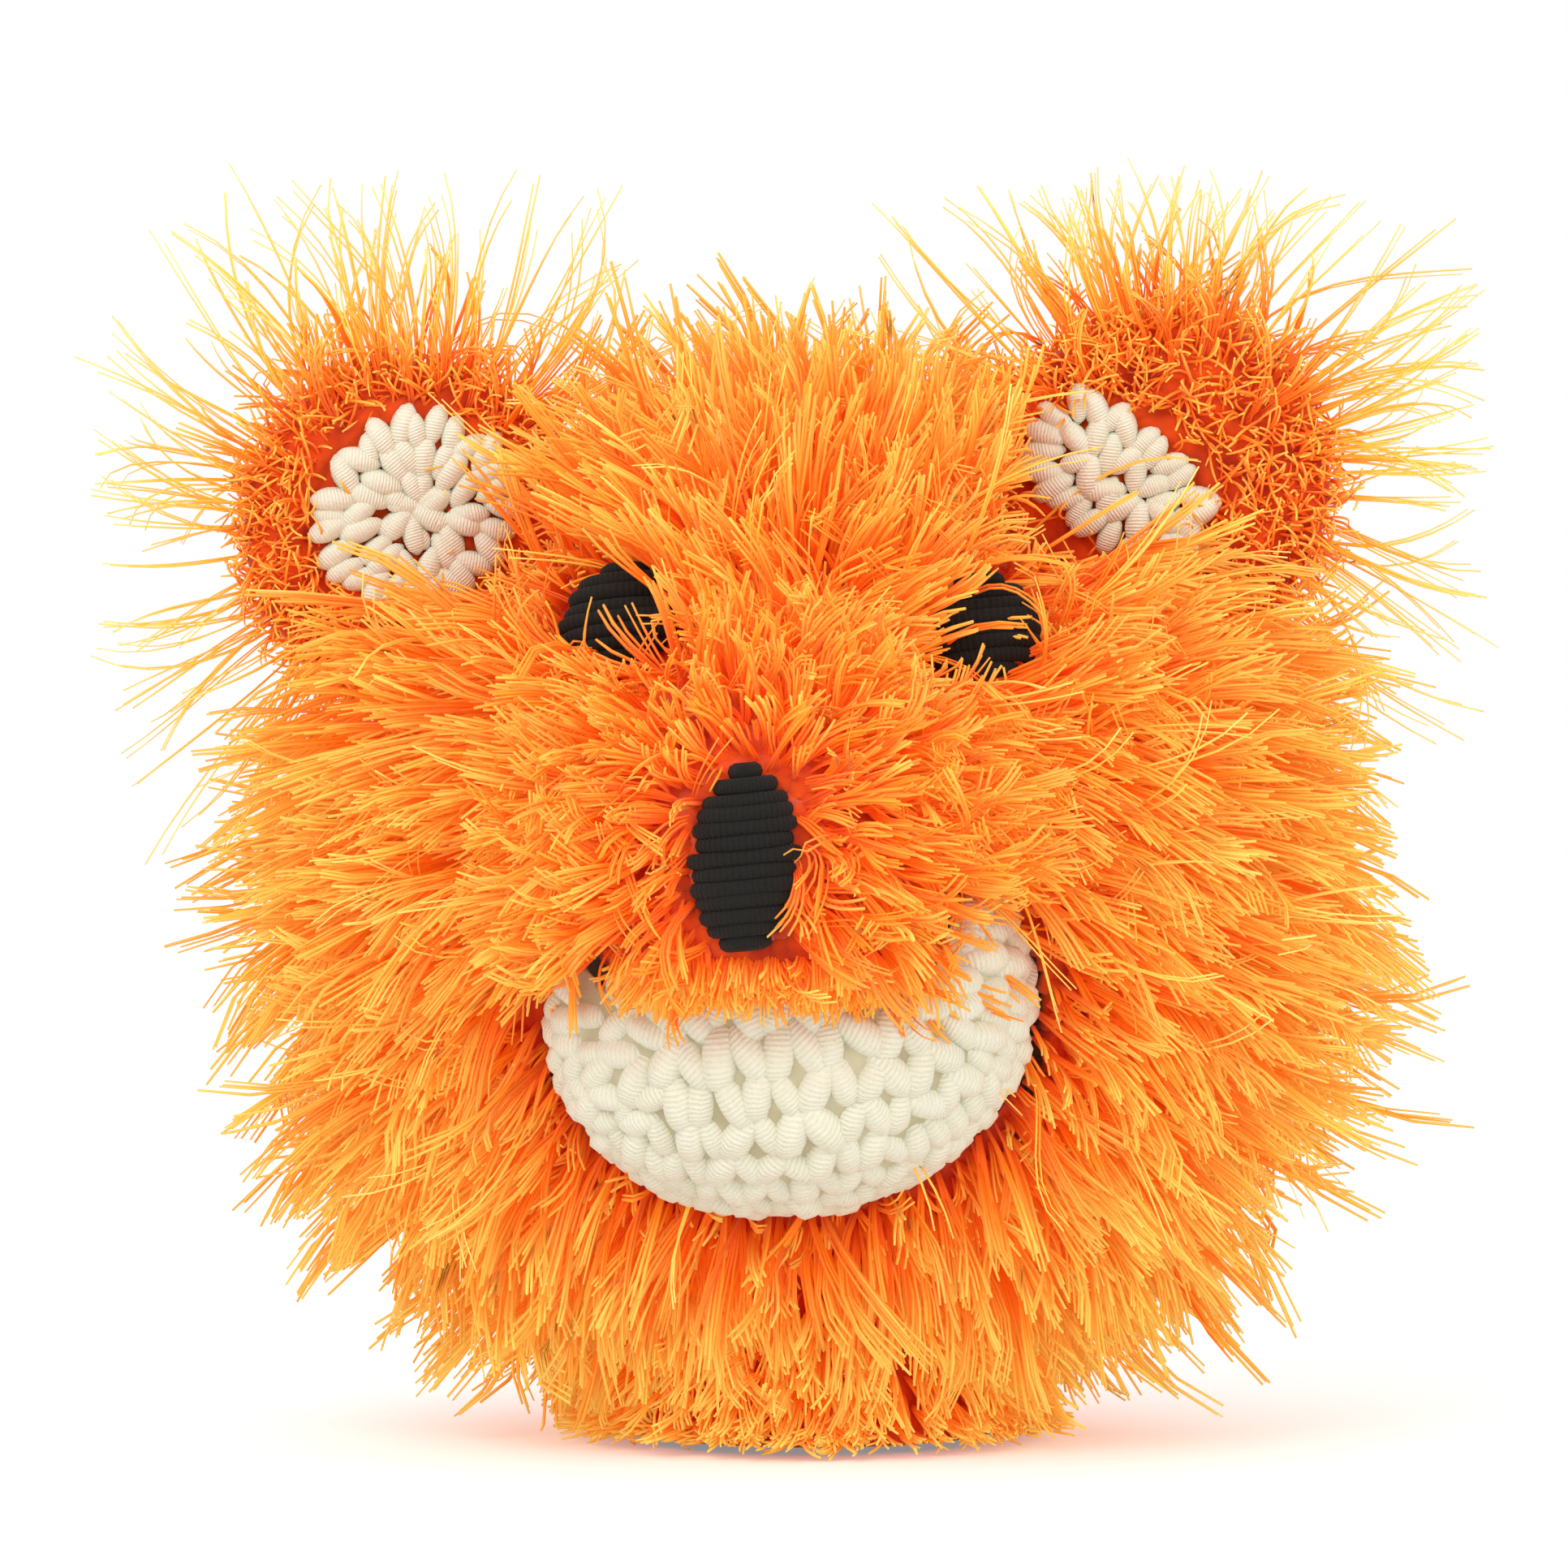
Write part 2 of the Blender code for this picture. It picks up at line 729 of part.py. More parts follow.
def pad_frame(shop, name, place, aim, roll=0.0):
    """An empty whose -Y looks along aim, for a pad and its socket."""
    frame = shop.empty(name, place, parent=shop.root)
    turn = (-aim).to_track_quat("Y", "Z").to_euler()
    turn.rotate_axis("Y", math.radians(roll))
    frame.rotation_euler = turn
    return frame


def yarn_pad(shop, name, frame, half_width, half_height, dome):
    """A domed oval pad with a flat back, just off its seat."""
    radii = Vector((half_width, dome, half_height))
    offset = Vector((0, -SEAT_GAP, 0))
    pad = shop.part(
        name, ellipsoid(name, radii, SMALL_ROUND), frame, "black_yarn", offset
    )
    low, high = Vector((-FAR, 0, -FAR)), Vector((FAR, FAR, FAR))
    back = shop.cutter(name + "_back", block(name + "_back", low, high), frame, offset)
    cut(pad, back)


def socket(shop, name, frame, half_width, half_height):
    """A flared hole in the pile with a flat floor, round a pad."""
    wall = cone(name, 1.0, SOCKET_FLARE, 0.0, SOCKET_DEPTH, axis="-Y", detail=24)
    wide = Vector((half_width + SEAT_GAP, 1.0, half_height + SEAT_GAP))
    hole = shop.cutter(name, wall, frame)
    hole.data.transform(Matrix.Diagonal((wide.x, 1.0, wide.z, 1.0)))
    return hole


def eye_frame(shop, side):
    """The eye's seat: on the pile's root, looking half along the skin and half ahead."""
    x, z = EYE_PLACES[side]
    depth = surface_depth(HEAD_RADII, HEAD_CENTRE, x, z)
    skin = Vector((x, -depth, z))
    normal = skin - HEAD_CENTRE
    normal = Vector([n / r**2 for n, r in zip(normal, HEAD_RADII)]).normalized()
    aim = (normal + Vector((0, -1, 0))).normalized()
    return pad_frame(shop, f"eye_seat_{side}", skin + aim * EYE_LIFT, aim)


def nose_frame(shop):
    x, z = NOSE_PLACE
    depth = surface_depth(SNOUT_RADII, SNOUT_PLACE, x, z)
    place = Vector((x, SNOUT_PLACE.y - depth - NOSE_LIFT, z))
    return pad_frame(shop, "nose_seat", place, Vector((0, -1, 0)), NOSE_ROLL)


def nose_socket(shop):
    frame = nose_frame(shop)
    yarn_pad(shop, "nose", frame, *NOSE_RADII, NOSE_DOME)
    return socket(shop, "nose_socket", frame, *NOSE_RADII)


def make_eyes(shop):
    """Makes both eyes and returns their sockets."""
    sockets = []
    for side in EYE_PLACES:
        frame = eye_frame(shop, side)
        yarn_pad(shop, f"eye_{side}", frame, EYE_RADIUS, EYE_RADIUS, EYE_DOME)
        sockets.append(
            socket(shop, f"eye_socket_{side}", frame, EYE_RADIUS, EYE_RADIUS)
        )
    return sockets


# ---------------------------------------------------------------- ears


def ear_radii():
    return Vector([r + p for r, p in zip(EAR_RADII, EAR_PILE)])


def ear_groove(shop, name, pivot):
    """The room that the ear's foot swings in: the hull of its section at both limits."""
    radii = ear_radii()
    shoulder = (radii.y - EAR_FOOT) / math.tan(math.radians(EAR_FLANK))
    profile = [
        (EAR_FOOT + SWING_GAP, -SWING_GAP),
        (radii.y + SWING_GAP, shoulder - SWING_GAP),
        (radii.y + SWING_GAP, EAR_RISE),
    ]
    wide = radii.x + SWING_GAP

    def build(bm):
        for degrees in (-EAR_SWING, 0.0, EAR_SWING):
            turn = Matrix.Rotation(math.radians(degrees), 3, "X")
            for half, rise in profile:
                for x in (-wide, wide):
                    bm.verts.new(turn @ Vector((x, half, rise)))
                    bm.verts.new(turn @ Vector((x, -half, rise)))
        hull_of_points(bm)

    return shop.cutter(name, mesh_from(name, build), pivot)


def foot_flank(shop, name, pivot, sign):
    """A block that pares one side of the ear's foot to a wedge."""
    flank = shop.cutter(
        name,
        block(name, Vector((-FAR, 0, -FAR)), Vector((FAR, FAR, FAR))),
        pivot,
        Vector((0, sign * EAR_FOOT, 0)),
    )
    lean = math.radians(EAR_FLANK)
    flank.rotation_euler = (
        (-lean, 0.0, 0.0) if sign > 0 else (math.pi + lean, 0.0, 0.0)
    )
    return flank


def make_ear(shop, side, pivot):
    """The furry shell with its dish, the cream lining in it, and the yarn it hangs on."""
    rise = Vector((0, 0, EAR_RISE))
    radii = ear_radii()
    shell = shop.part(
        f"ear_shell_{side}",
        ellipsoid(f"ear_shell_{side}", radii, MID_ROUND),
        pivot,
        "fur_yarn",
        rise,
    )
    dish_place = Vector((DISH_SHIFTS[side], -radii.y, DISH_RISE))
    dish = shop.cutter(
        f"ear_dish_{side}",
        ellipsoid("ear_dish", DISH_RADII, SMALL_ROUND),
        pivot,
        dish_place,
    )
    foot = block("ear_foot", Vector((-FAR, -FAR, -FAR)), Vector((FAR, FAR, 0)))
    bore = SEAM_YARN + SEAT_GAP
    tunnel = cone("ear_tunnel", bore, bore, -FAR, FAR, axis="X", detail=24)
    cut(
        shell,
        dish,
        shop.cutter(f"ear_foot_{side}", foot, pivot),
        foot_flank(shop, f"ear_flank_front_{side}", pivot, -1),
        foot_flank(shop, f"ear_flank_back_{side}", pivot, 1),
        shop.cutter(f"ear_tunnel_{side}", tunnel, pivot),
    )
    lining = shop.part(
        f"ear_lining_{side}",
        ellipsoid(f"ear_lining_{side}", grown(DISH_RADII, -SEAT_GAP), SMALL_ROUND),
        pivot,
        "cream_yarn",
        dish_place,
    )
    face = block(
        "lining_face", Vector((-FAR, -FAR, -FAR)), Vector((FAR, LINING_INSET, FAR))
    )
    cut(lining, shop.cutter(f"lining_face_{side}", face, pivot, dish_place))


def make_ear_seam(shop, side, seat):
    """The sewing yarn on the hinge line, which stays on the head."""
    radii = ear_radii()
    half = math.sqrt(1.0 - (EAR_RISE / radii.z) ** 2) * radii.x
    yarn = cone(
        f"ear_seam_{side}", SEAM_YARN, SEAM_YARN, -half, half, axis="X", detail=20
    )
    shop.part(f"ear_seam_{side}", yarn, seat, "fur_yarn")


def ear_pivot(shop, name, side):
    lean = EAR_LEANS[side]
    away = Vector((math.sin(math.radians(lean)), 0.0, math.cos(math.radians(lean))))
    reach = 1.0 / math.sqrt(sum((a / r) ** 2 for a, r in zip(away, HEAD_RADII)))
    place = HEAD_CENTRE + away * (reach + SEAM_YARN + SEAT_GAP)
    return shop.empty(name, place, lean, shop.root)


# ---------------------------------------------------------------- the whole puppet


def centre_on_base(shop):
    """Moves the puppet so that the middle of its box stands on the world's origin."""
    bpy.context.view_layer.update()
    graph = bpy.context.evaluated_depsgraph_get()
    corners = []
    for obj in shop.parts.objects:
        if obj.type == "EMPTY":
            continue
        seen = obj.evaluated_get(graph)
        mesh = seen.to_mesh()
        corners += [seen.matrix_world @ v.co for v in mesh.vertices]
        seen.to_mesh_clear()
    low = Vector([min(c[k] for c in corners) for k in range(3)])
    high = Vector([max(c[k] for c in corners) for k in range(3)])
    middle = (low + high) / 2
    shop.root.location = Vector((-middle.x, -middle.y, -low.z))
    bpy.context.view_layer.update()


def main():
    clear_scene()
    shop = Workshop()
    upper = shop.empty("mouth_fold", HINGE, parent=shop.root)
    jaw = shop.empty("jaw_pivot", HINGE, parent=shop.root)
    window = jaw_path(shop, "jaw_window", SWING_GAP)
    sockets = make_eyes(shop)
    for side in EAR_LEANS:
        seat = ear_pivot(shop, f"ear_seat_{side}", side)
        sockets.append(ear_groove(shop, f"ear_groove_{side}", seat))
        make_ear_seam(shop, side, seat)
        make_ear(shop, side, ear_pivot(shop, f"ear_pivot_{side}", side))
    make_head_shell(shop, window, sockets)
    make_neck_cuff(shop)
    make_hand_lining(shop)
    make_head_stuffing(shop)
    make_snout_cover(shop)
    make_snout_stuffing(shop)
    make_snout_seam(shop)
    make_mouth(shop, upper, jaw)
    make_jaw_cover(shop, jaw)
    make_jaw_stuffing(shop, jaw)
    make_jaw_seam(shop, jaw)
    make_throat_web(shop)
    centre_on_base(shop)


main()
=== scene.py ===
"""Shaggy crocheted animal-head hand puppet: its looks, on the frame of its solids.

The puppet's own measures are in millimetres, in a frame whose origin is on the floor under the
head's centre. The face looks along -Y, +Z is up, and left and right are the puppet's own.
"""

import logging
import math
from dataclasses import dataclass, field, replace
from enum import Enum
from typing import Callable, Iterable

import bpy
import numpy as np
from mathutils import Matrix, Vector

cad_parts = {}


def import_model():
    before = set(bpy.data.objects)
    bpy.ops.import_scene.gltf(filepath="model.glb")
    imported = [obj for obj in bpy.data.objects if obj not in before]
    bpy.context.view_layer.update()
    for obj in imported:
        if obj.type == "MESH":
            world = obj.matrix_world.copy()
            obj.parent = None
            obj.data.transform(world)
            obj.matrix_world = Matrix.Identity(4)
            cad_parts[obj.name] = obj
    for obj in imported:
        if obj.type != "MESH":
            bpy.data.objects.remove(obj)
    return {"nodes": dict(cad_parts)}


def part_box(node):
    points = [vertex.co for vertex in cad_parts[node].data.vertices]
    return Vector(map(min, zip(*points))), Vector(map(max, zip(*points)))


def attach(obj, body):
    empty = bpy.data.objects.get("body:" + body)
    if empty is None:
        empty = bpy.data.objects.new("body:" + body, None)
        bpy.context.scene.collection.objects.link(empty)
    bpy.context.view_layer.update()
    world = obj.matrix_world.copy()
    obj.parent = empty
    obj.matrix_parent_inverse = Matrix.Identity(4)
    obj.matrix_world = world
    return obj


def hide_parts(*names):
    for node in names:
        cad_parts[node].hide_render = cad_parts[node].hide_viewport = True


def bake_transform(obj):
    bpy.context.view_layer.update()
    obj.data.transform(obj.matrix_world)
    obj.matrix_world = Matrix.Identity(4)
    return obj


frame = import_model()

LOG = logging.getLogger("puppet")
MM = 0.001
Array = np.ndarray
Colour = tuple[float, float, float]
Patch = tuple[float, float, float, float]  # an ellipse's middle and half-sizes, sideways and upwards

HEAD_CENTRE = np.array([0.0, 0.0, 80.0])
HEAD_RADII = np.array([57.0, 46.0, 57.0])
NECK_BACK = 4.0
KNIT = 4.0
EAR_LEANS = {"left": 41.0, "right": -48.4}
EAR_SWING = 18.0
FACE_WHORL = np.array([-6.0, 0.0, 96.0])


class Body(str, Enum):
    """The bodies that a piece can ride on."""

    HEAD = "head"
    JAW = "jaw"
    EAR_LEFT = "ear_left"
    EAR_RIGHT = "ear_right"


class Slot(str, Enum):
    """The record's material slots."""

    FUR = "fur_yarn"
    CREAM = "cream_yarn"
    BLACK = "black_yarn"
    LINING = "lining_cloth"
    FILL = "stuffing"
    FELT = "mouth_felt"
    BOARD = "plate_board"


# ---------------------------------------------------------------- numbers and vectors


def unit(v: Array) -> Array:
    """Scales each vector in an array to length one."""
    return v / np.maximum(np.linalg.norm(v, axis=-1, keepdims=True), 1e-9)


def origin_mm() -> Array:
    """Finds the head frame's origin in the world, from the neck cuff's box.

    Returns:
        The origin, in millimetres.
    """
    low, high = (np.array(corner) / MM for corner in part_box("neck_cuff"))
    middle = (low + high) / 2
    return np.array([middle[0], middle[1] - NECK_BACK, 0.0])


ORIGIN = origin_mm()


def world(points: Array) -> Array:
    """Brings points from the head's frame in millimetres to the world in metres."""
    return (points + ORIGIN) * MM


def turned_about_y(degrees: float) -> Array:
    """Makes the matrix of a turn about +Y."""
    c, s = math.cos(math.radians(degrees)), math.sin(math.radians(degrees))
    return np.array([[c, 0.0, s], [0.0, 1.0, 0.0], [-s, 0.0, c]])


def ear_seam(lean: float) -> Array:
    """Finds the middle of an ear's seam on the head.

    Args:
        lean: The ear's lean from upright, in degrees.

    Returns:
        A point in the head's frame.
    """
    away = turned_about_y(lean) @ np.array([0.0, 0.0, 1.0])
    reach = 1.0 / math.sqrt(float(((away / HEAD_RADII) ** 2).sum()))
    return HEAD_CENTRE + away * (reach + 1.4)


def spread_on_ball(count: int) -> Array:
    """Spreads points evenly over a unit ball along a golden spiral.

    Args:
        count: How many points to make.

    Returns:
        An array of unit vectors.
    """
    index = np.arange(count) + 0.5
    height = 1.0 - 2.0 * index / count
    turn = math.pi * (1.0 + math.sqrt(5.0)) * index
    ring = np.sqrt(1.0 - height**2)
    return np.stack([ring * np.cos(turn), ring * np.sin(turn), height], axis=1)


def ellipsoid_normals(points: Array, centre: Array, radii: Array) -> Array:
    """Finds the outward normals of an ellipsoid at points on it."""
    return unit((points - centre) / radii**2)


def inside(points: Array, centre: Array, radii: Array) -> Array:
    """Tells which points lie inside an ellipsoid."""
    return (((points - centre) / radii) ** 2).sum(axis=1) < 1.0


# ---------------------------------------------------------------- meshes and pieces


def mesh_of(
    name: str, verts: Array, quads: Array, caps: Array | None = None, uv: Array | None = None
) -> bpy.types.Mesh:
    """Makes a mesh from arrays.

    Args:
        name: The mesh's name.
        verts: Points in the world, in metres.
        quads: Four vertex numbers for each face.
        caps: Three vertex numbers for each triangle, if there are any.
        uv: A pair of numbers for each vertex, kept in the UV map "strand".

    Returns:
        The new mesh.
    """
    caps = np.zeros((0, 3), dtype=np.int32) if caps is None else caps
    corners = np.concatenate([quads.ravel(), caps.ravel()]).astype(np.int32)
    starts = np.concatenate([np.arange(len(quads)) * 4, len(quads) * 4 + np.arange(len(caps)) * 3])
    mesh = bpy.data.meshes.new(name)
    mesh.vertices.add(len(verts))
    mesh.vertices.foreach_set("co", verts.astype(np.float32).ravel())
    mesh.loops.add(len(corners))
    mesh.loops.foreach_set("vertex_index", corners)
    mesh.polygons.add(len(starts))
    mesh.polygons.foreach_set("loop_start", starts.astype(np.int32))
    mesh.update(calc_edges=True)
    if uv is not None:
        layer = mesh.uv_layers.new(name="strand")
        layer.data.foreach_set("uv", uv[corners].astype(np.float32).ravel())
    return mesh


def add_piece(
    mesh: bpy.types.Mesh, body: Body | None, material: bpy.types.Material
) -> bpy.types.Object:
    """Adds a finished mesh to the scene as a piece that rides on a body.

    Args:
        mesh: The piece's mesh, with its place in it.
        body: The body that it rides on, or None for a piece that rides on no body.
        material: Its material.

    Returns:
        The new object.
    """
    piece = bpy.data.objects.new(mesh.name, mesh)
    bpy.context.scene.collection.objects.link(piece)
    mesh.materials.clear()
    mesh.materials.append(material)
    if body is not None:
        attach(piece, body.value)
    LOG.info("%s: %d faces on %s", piece.name, len(mesh.polygons), body.value if body else "two bodies")
    return piece


def grid_quads(rows: int, columns: int, closed: bool) -> Array:
    """Numbers the faces of a grid of rows by columns points.

    Args:
        rows: How many rows of points there are.
        columns: How many points a row has.
        closed: Whether each row closes on itself.

    Returns:
        Four vertex numbers for each face.
    """
    across = columns if closed else columns - 1
    r, c = np.meshgrid(np.arange(rows - 1), np.arange(across), indexing="ij")
    n = (c + 1) % columns
    here, above = r * columns, (r + 1) * columns
    return np.stack([here + c, here + n, above + n, above + c], axis=-1).reshape(-1, 4)


def tubes(name: str, paths: Array, radii: Array, sides: int, tags: Array) -> bpy.types.Mesh:
    """Sweeps a round section along many paths of the same number of points.

    Args:
        name: The mesh's name.
        paths: Points, by path and place, in the head's frame in millimetres.
        radii: The section's radius, by path and place.
        sides: The section's number of sides.
        tags: One number for each path, kept as U; V runs from 0 to 1 along it.

    Returns:
        A mesh of closed tubes.
    """
    count, steps = paths.shape[:2]
    along = unit(np.gradient(paths, axis=1))
    guide = np.where(np.abs(along[:, :1, 2:3]) > 0.8, np.array([1.0, 0.0, 0.0]), np.array([0.0, 0.0, 1.0]))
    side = unit(np.cross(along, guide))
    up = np.cross(side, along)
    turn = np.arange(sides) * math.tau / sides
    ring = side[:, :, None] * np.cos(turn)[:, None] + up[:, :, None] * np.sin(turn)[:, None]
    verts = paths[:, :, None] + ring * radii[:, :, None, None]
    block = steps * sides
    quads = grid_quads(steps, sides, True)[:, ::-1]
    quads = (quads[None] + (np.arange(count) * block)[:, None, None]).reshape(-1, 4)
    fan = np.stack([np.zeros(sides - 2, int), np.arange(1, sides - 1), np.arange(2, sides)], axis=1)
    ends = np.concatenate([fan, (fan + (steps - 1) * sides)[:, ::-1]])
    caps = (ends[None] + (np.arange(count) * block)[:, None, None]).reshape(-1, 3)
    v = np.broadcast_to(np.linspace(0, 1, steps)[None, :, None], (count, steps, sides))
    u = np.broadcast_to(tags[:, None, None], (count, steps, sides))
    uv = np.stack([u, v], axis=-1).reshape(-1, 2)
    return mesh_of(name, world(verts.reshape(-1, 3)), quads, caps, uv)


# ---------------------------------------------------------------- materials


class Nodes:
    """A small helper to wire a material's nodes."""

    def __init__(self, tree: bpy.types.NodeTree) -> None:
        """Keeps the tree that the nodes go in."""
        self.tree = tree

    def add(self, kind: str, **values: object) -> bpy.types.Node:
        """Adds a node and sets its properties, or its inputs where it has one of that name."""
        node = self.tree.nodes.new(kind)
        for key, value in values.items():
            label = key.replace("_", " ")
            if label in node.inputs:
                node.inputs[label].default_value = value
            else:
                setattr(node, key, value)
        return node

    def link(self, source: bpy.types.NodeSocket, target: bpy.types.NodeSocket) -> None:
        """Joins two sockets."""
        self.tree.links.new(source, target)


def fibre_group() -> bpy.types.NodeTree:
    """Builds the shared group that gives yarn its fine fibres.

    Returns:
        A group with a scale in, and a mask and a height out.
    """
    tree = bpy.data.node_groups.new("yarn_fibres", "ShaderNodeTree")
    tree.interface.new_socket(name="Scale", in_out="INPUT", socket_type="NodeSocketFloat")
    tree.interface.new_socket(name="Mask", in_out="OUTPUT", socket_type="NodeSocketFloat")
    tree.interface.new_socket(name="Height", in_out="OUTPUT", socket_type="NodeSocketFloat")
    nodes = Nodes(tree)
    given = tree.nodes.new("NodeGroupInput")
    out = tree.nodes.new("NodeGroupOutput")
    place = nodes.add("ShaderNodeTexCoord")
    fine = nodes.add("ShaderNodeTexNoise", Detail=4.0, Roughness=0.65)
    nodes.link(place.outputs["Object"], fine.inputs["Vector"])
    nodes.link(given.outputs["Scale"], fine.inputs["Scale"])
    broad = nodes.add("ShaderNodeTexNoise", Scale=160.0, Detail=2.0)
    nodes.link(place.outputs["Object"], broad.inputs["Vector"])
    total = nodes.add("ShaderNodeMath", operation="MULTIPLY_ADD")
    total.inputs[1].default_value = 0.5
    nodes.link(broad.outputs["Fac"], total.inputs[0])
    nodes.link(fine.outputs["Fac"], total.inputs[2])
    nodes.link(broad.outputs["Fac"], out.inputs["Mask"])
    nodes.link(total.outputs["Value"], out.inputs["Height"])
    return tree


@dataclass(frozen=True)
class Finish:
    """A plain fibrous finish: cloth, felt, board, fill or crocheted yarn."""

    name: str
    dark: Colour
    light: Colour
    roughness: float = 0.9
    scale: float = 1800.0
    bump: float = 0.4
    sheen: float = 0.3

    def material(self, fibres: bpy.types.NodeTree) -> bpy.types.Material:
        """Builds the material.

        Args:
            fibres: The shared group of fine fibres.

        Returns:
            The new material.
        """
        made = bpy.data.materials.new(self.name)
        made.use_nodes = True
        nodes = Nodes(made.node_tree)
        shader = made.node_tree.nodes["Principled BSDF"]
        shader.inputs["Roughness"].default_value = self.roughness
        shader.inputs["Specular IOR Level"].default_value = 0.2
        shader.inputs["Sheen Weight"].default_value = self.sheen
        group = nodes.add("ShaderNodeGroup", node_tree=fibres)
        group.inputs["Scale"].default_value = self.scale
        ramp = nodes.add("ShaderNodeValToRGB")
        ramp.color_ramp.elements[0].position = 0.3
        ramp.color_ramp.elements[0].color = (*self.dark, 1.0)
        ramp.color_ramp.elements[1].position = 0.68
        ramp.color_ramp.elements[1].color = (*self.light, 1.0)
        nodes.link(group.outputs["Mask"], ramp.inputs["Fac"])
        nodes.link(ramp.outputs["Color"], shader.inputs["Base Color"])
        bump = nodes.add("ShaderNodeBump", Strength=self.bump, Distance=0.0004)
        nodes.link(group.outputs["Height"], bump.inputs["Height"])
        nodes.link(bump.outputs["Normal"], shader.inputs["Normal"])
        return made


@dataclass(frozen=True)
class PlyFinish:
    """Twisted yarn whose plies run slantwise along each strand of the UV map, darker in the grooves
    between them as painted shade.
    """

    name: str
    dark: Colour
    light: Colour
    roughness: float = 0.85
    plies: float = 10.0
    slant: float = 2.0
    bump: float = 0.6
    sheen: float = 0.25

    def material(self, fibres: bpy.types.NodeTree) -> bpy.types.Material:
        """Builds the material.

        Args:
            fibres: The shared group of fine fibres.

        Returns:
            The new material.
        """
        made = bpy.data.materials.new(self.name)
        made.use_nodes = True
        nodes = Nodes(made.node_tree)
        shader = made.node_tree.nodes["Principled BSDF"]
        shader.inputs["Roughness"].default_value = self.roughness
        shader.inputs["Specular IOR Level"].default_value = 0.2
        shader.inputs["Sheen Weight"].default_value = self.sheen
        strand = nodes.add("ShaderNodeUVMap", uv_map="strand")
        turn = nodes.add("ShaderNodeMapping")
        turn.inputs["Scale"].default_value = (self.slant, self.plies, 1.0)
        wave = nodes.add("ShaderNodeTexWave", Scale=1.0, Distortion=1.5, Detail=2.0)
        wave.bands_direction = "DIAGONAL"
        nodes.link(strand.outputs["UV"], turn.inputs["Vector"])
        nodes.link(turn.outputs["Vector"], wave.inputs["Vector"])
        group = nodes.add("ShaderNodeGroup", node_tree=fibres)
        group.inputs["Scale"].default_value = 2600.0
        height = nodes.add("ShaderNodeMath", operation="MULTIPLY_ADD")
        height.inputs[1].default_value = 0.6
        nodes.link(wave.outputs["Fac"], height.inputs[0])
        nodes.link(group.outputs["Height"], height.inputs[2])
        # The colour follows the plies' height: darker in the grooves as painted shade, with the fibres'
        # random tone mixed in.
        ramp = nodes.add("ShaderNodeValToRGB")
        ramp.color_ramp.elements[0].position = 0.35
        ramp.color_ramp.elements[0].color = (*self.dark, 1.0)
        ramp.color_ramp.elements[1].position = 0.95
        ramp.color_ramp.elements[1].color = (*self.light, 1.0)
        nodes.link(height.outputs["Value"], ramp.inputs["Fac"])
        nodes.link(ramp.outputs["Color"], shader.inputs["Base Color"])
        bump = nodes.add("ShaderNodeBump", Strength=self.bump, Distance=0.0004)
        nodes.link(height.outputs["Value"], bump.inputs["Height"])
        nodes.link(bump.outputs["Normal"], shader.inputs["Normal"])
        return made


@dataclass(frozen=True)
class LashFinish:
    """Eyelash yarn, darker at the root as painted shade in the fur's depths and paler at the tip as
    painted light through the thin filaments, with a tint of its own for each strand.
    """

    name: str
    # root, middle and tip: the deep roots are painted shade in the fur's depths, the pale tips painted
    # light through the thin filaments
    warm: tuple[Colour, Colour, Colour] = ((0.66, 0.028, 0.001), (1.0, 0.135, 0.002), (1.0, 0.34, 0.015))
    pale: tuple[Colour, Colour, Colour] = ((0.95, 0.07, 0.002), (1.0, 0.28, 0.008), (1.0, 0.68, 0.12))
    middle: float = 0.42
    roughness: float = 0.5
    glow: float = 0.19  # painted light: the strand's own colour glows, standing in for light that comes through the thin filaments

    def ramp(self, nodes: Nodes, colours: tuple[Colour, Colour, Colour]) -> bpy.types.Node:
        """Adds a ramp of three colours from root to tip: painted shade at the root, painted light at the
        tip.
        """
        ramp = nodes.add("ShaderNodeValToRGB")
        ramp.color_ramp.elements[0].color = (*colours[0], 1.0)
        ramp.color_ramp.elements[1].color = (*colours[2], 1.0)
        middle = ramp.color_ramp.elements.new(self.middle)
        middle.color = (*colours[1], 1.0)
        return ramp

    def material(self) -> bpy.types.Material:
        """Builds the material."""
        made = bpy.data.materials.new(self.name)
        made.use_nodes = True
        nodes = Nodes(made.node_tree)
        shader = made.node_tree.nodes["Principled BSDF"]
        shader.inputs["Roughness"].default_value = self.roughness
        shader.inputs["Specular IOR Level"].default_value = 0.25
        shader.inputs["Sheen Weight"].default_value = 0.1
        strand = nodes.add("ShaderNodeUVMap", uv_map="strand")
        split = nodes.add("ShaderNodeSeparateXYZ")
        nodes.link(strand.outputs["UV"], split.inputs["Vector"])
        warm, pale = self.ramp(nodes, self.warm), self.ramp(nodes, self.pale)
        mix = nodes.add("ShaderNodeMix", data_type="RGBA")
        nodes.link(split.outputs["Y"], warm.inputs["Fac"])
        nodes.link(split.outputs["Y"], pale.inputs["Fac"])
        nodes.link(split.outputs["X"], mix.inputs[0])
        nodes.link(warm.outputs["Color"], mix.inputs[6])
        nodes.link(pale.outputs["Color"], mix.inputs[7])
        nodes.link(mix.outputs[2], shader.inputs["Base Color"])
        # painted light: the strand glows in its own colour, as if lit through
        nodes.link(mix.outputs[2], shader.inputs["Emission Color"])
        shader.inputs["Emission Strength"].default_value = self.glow
        return made


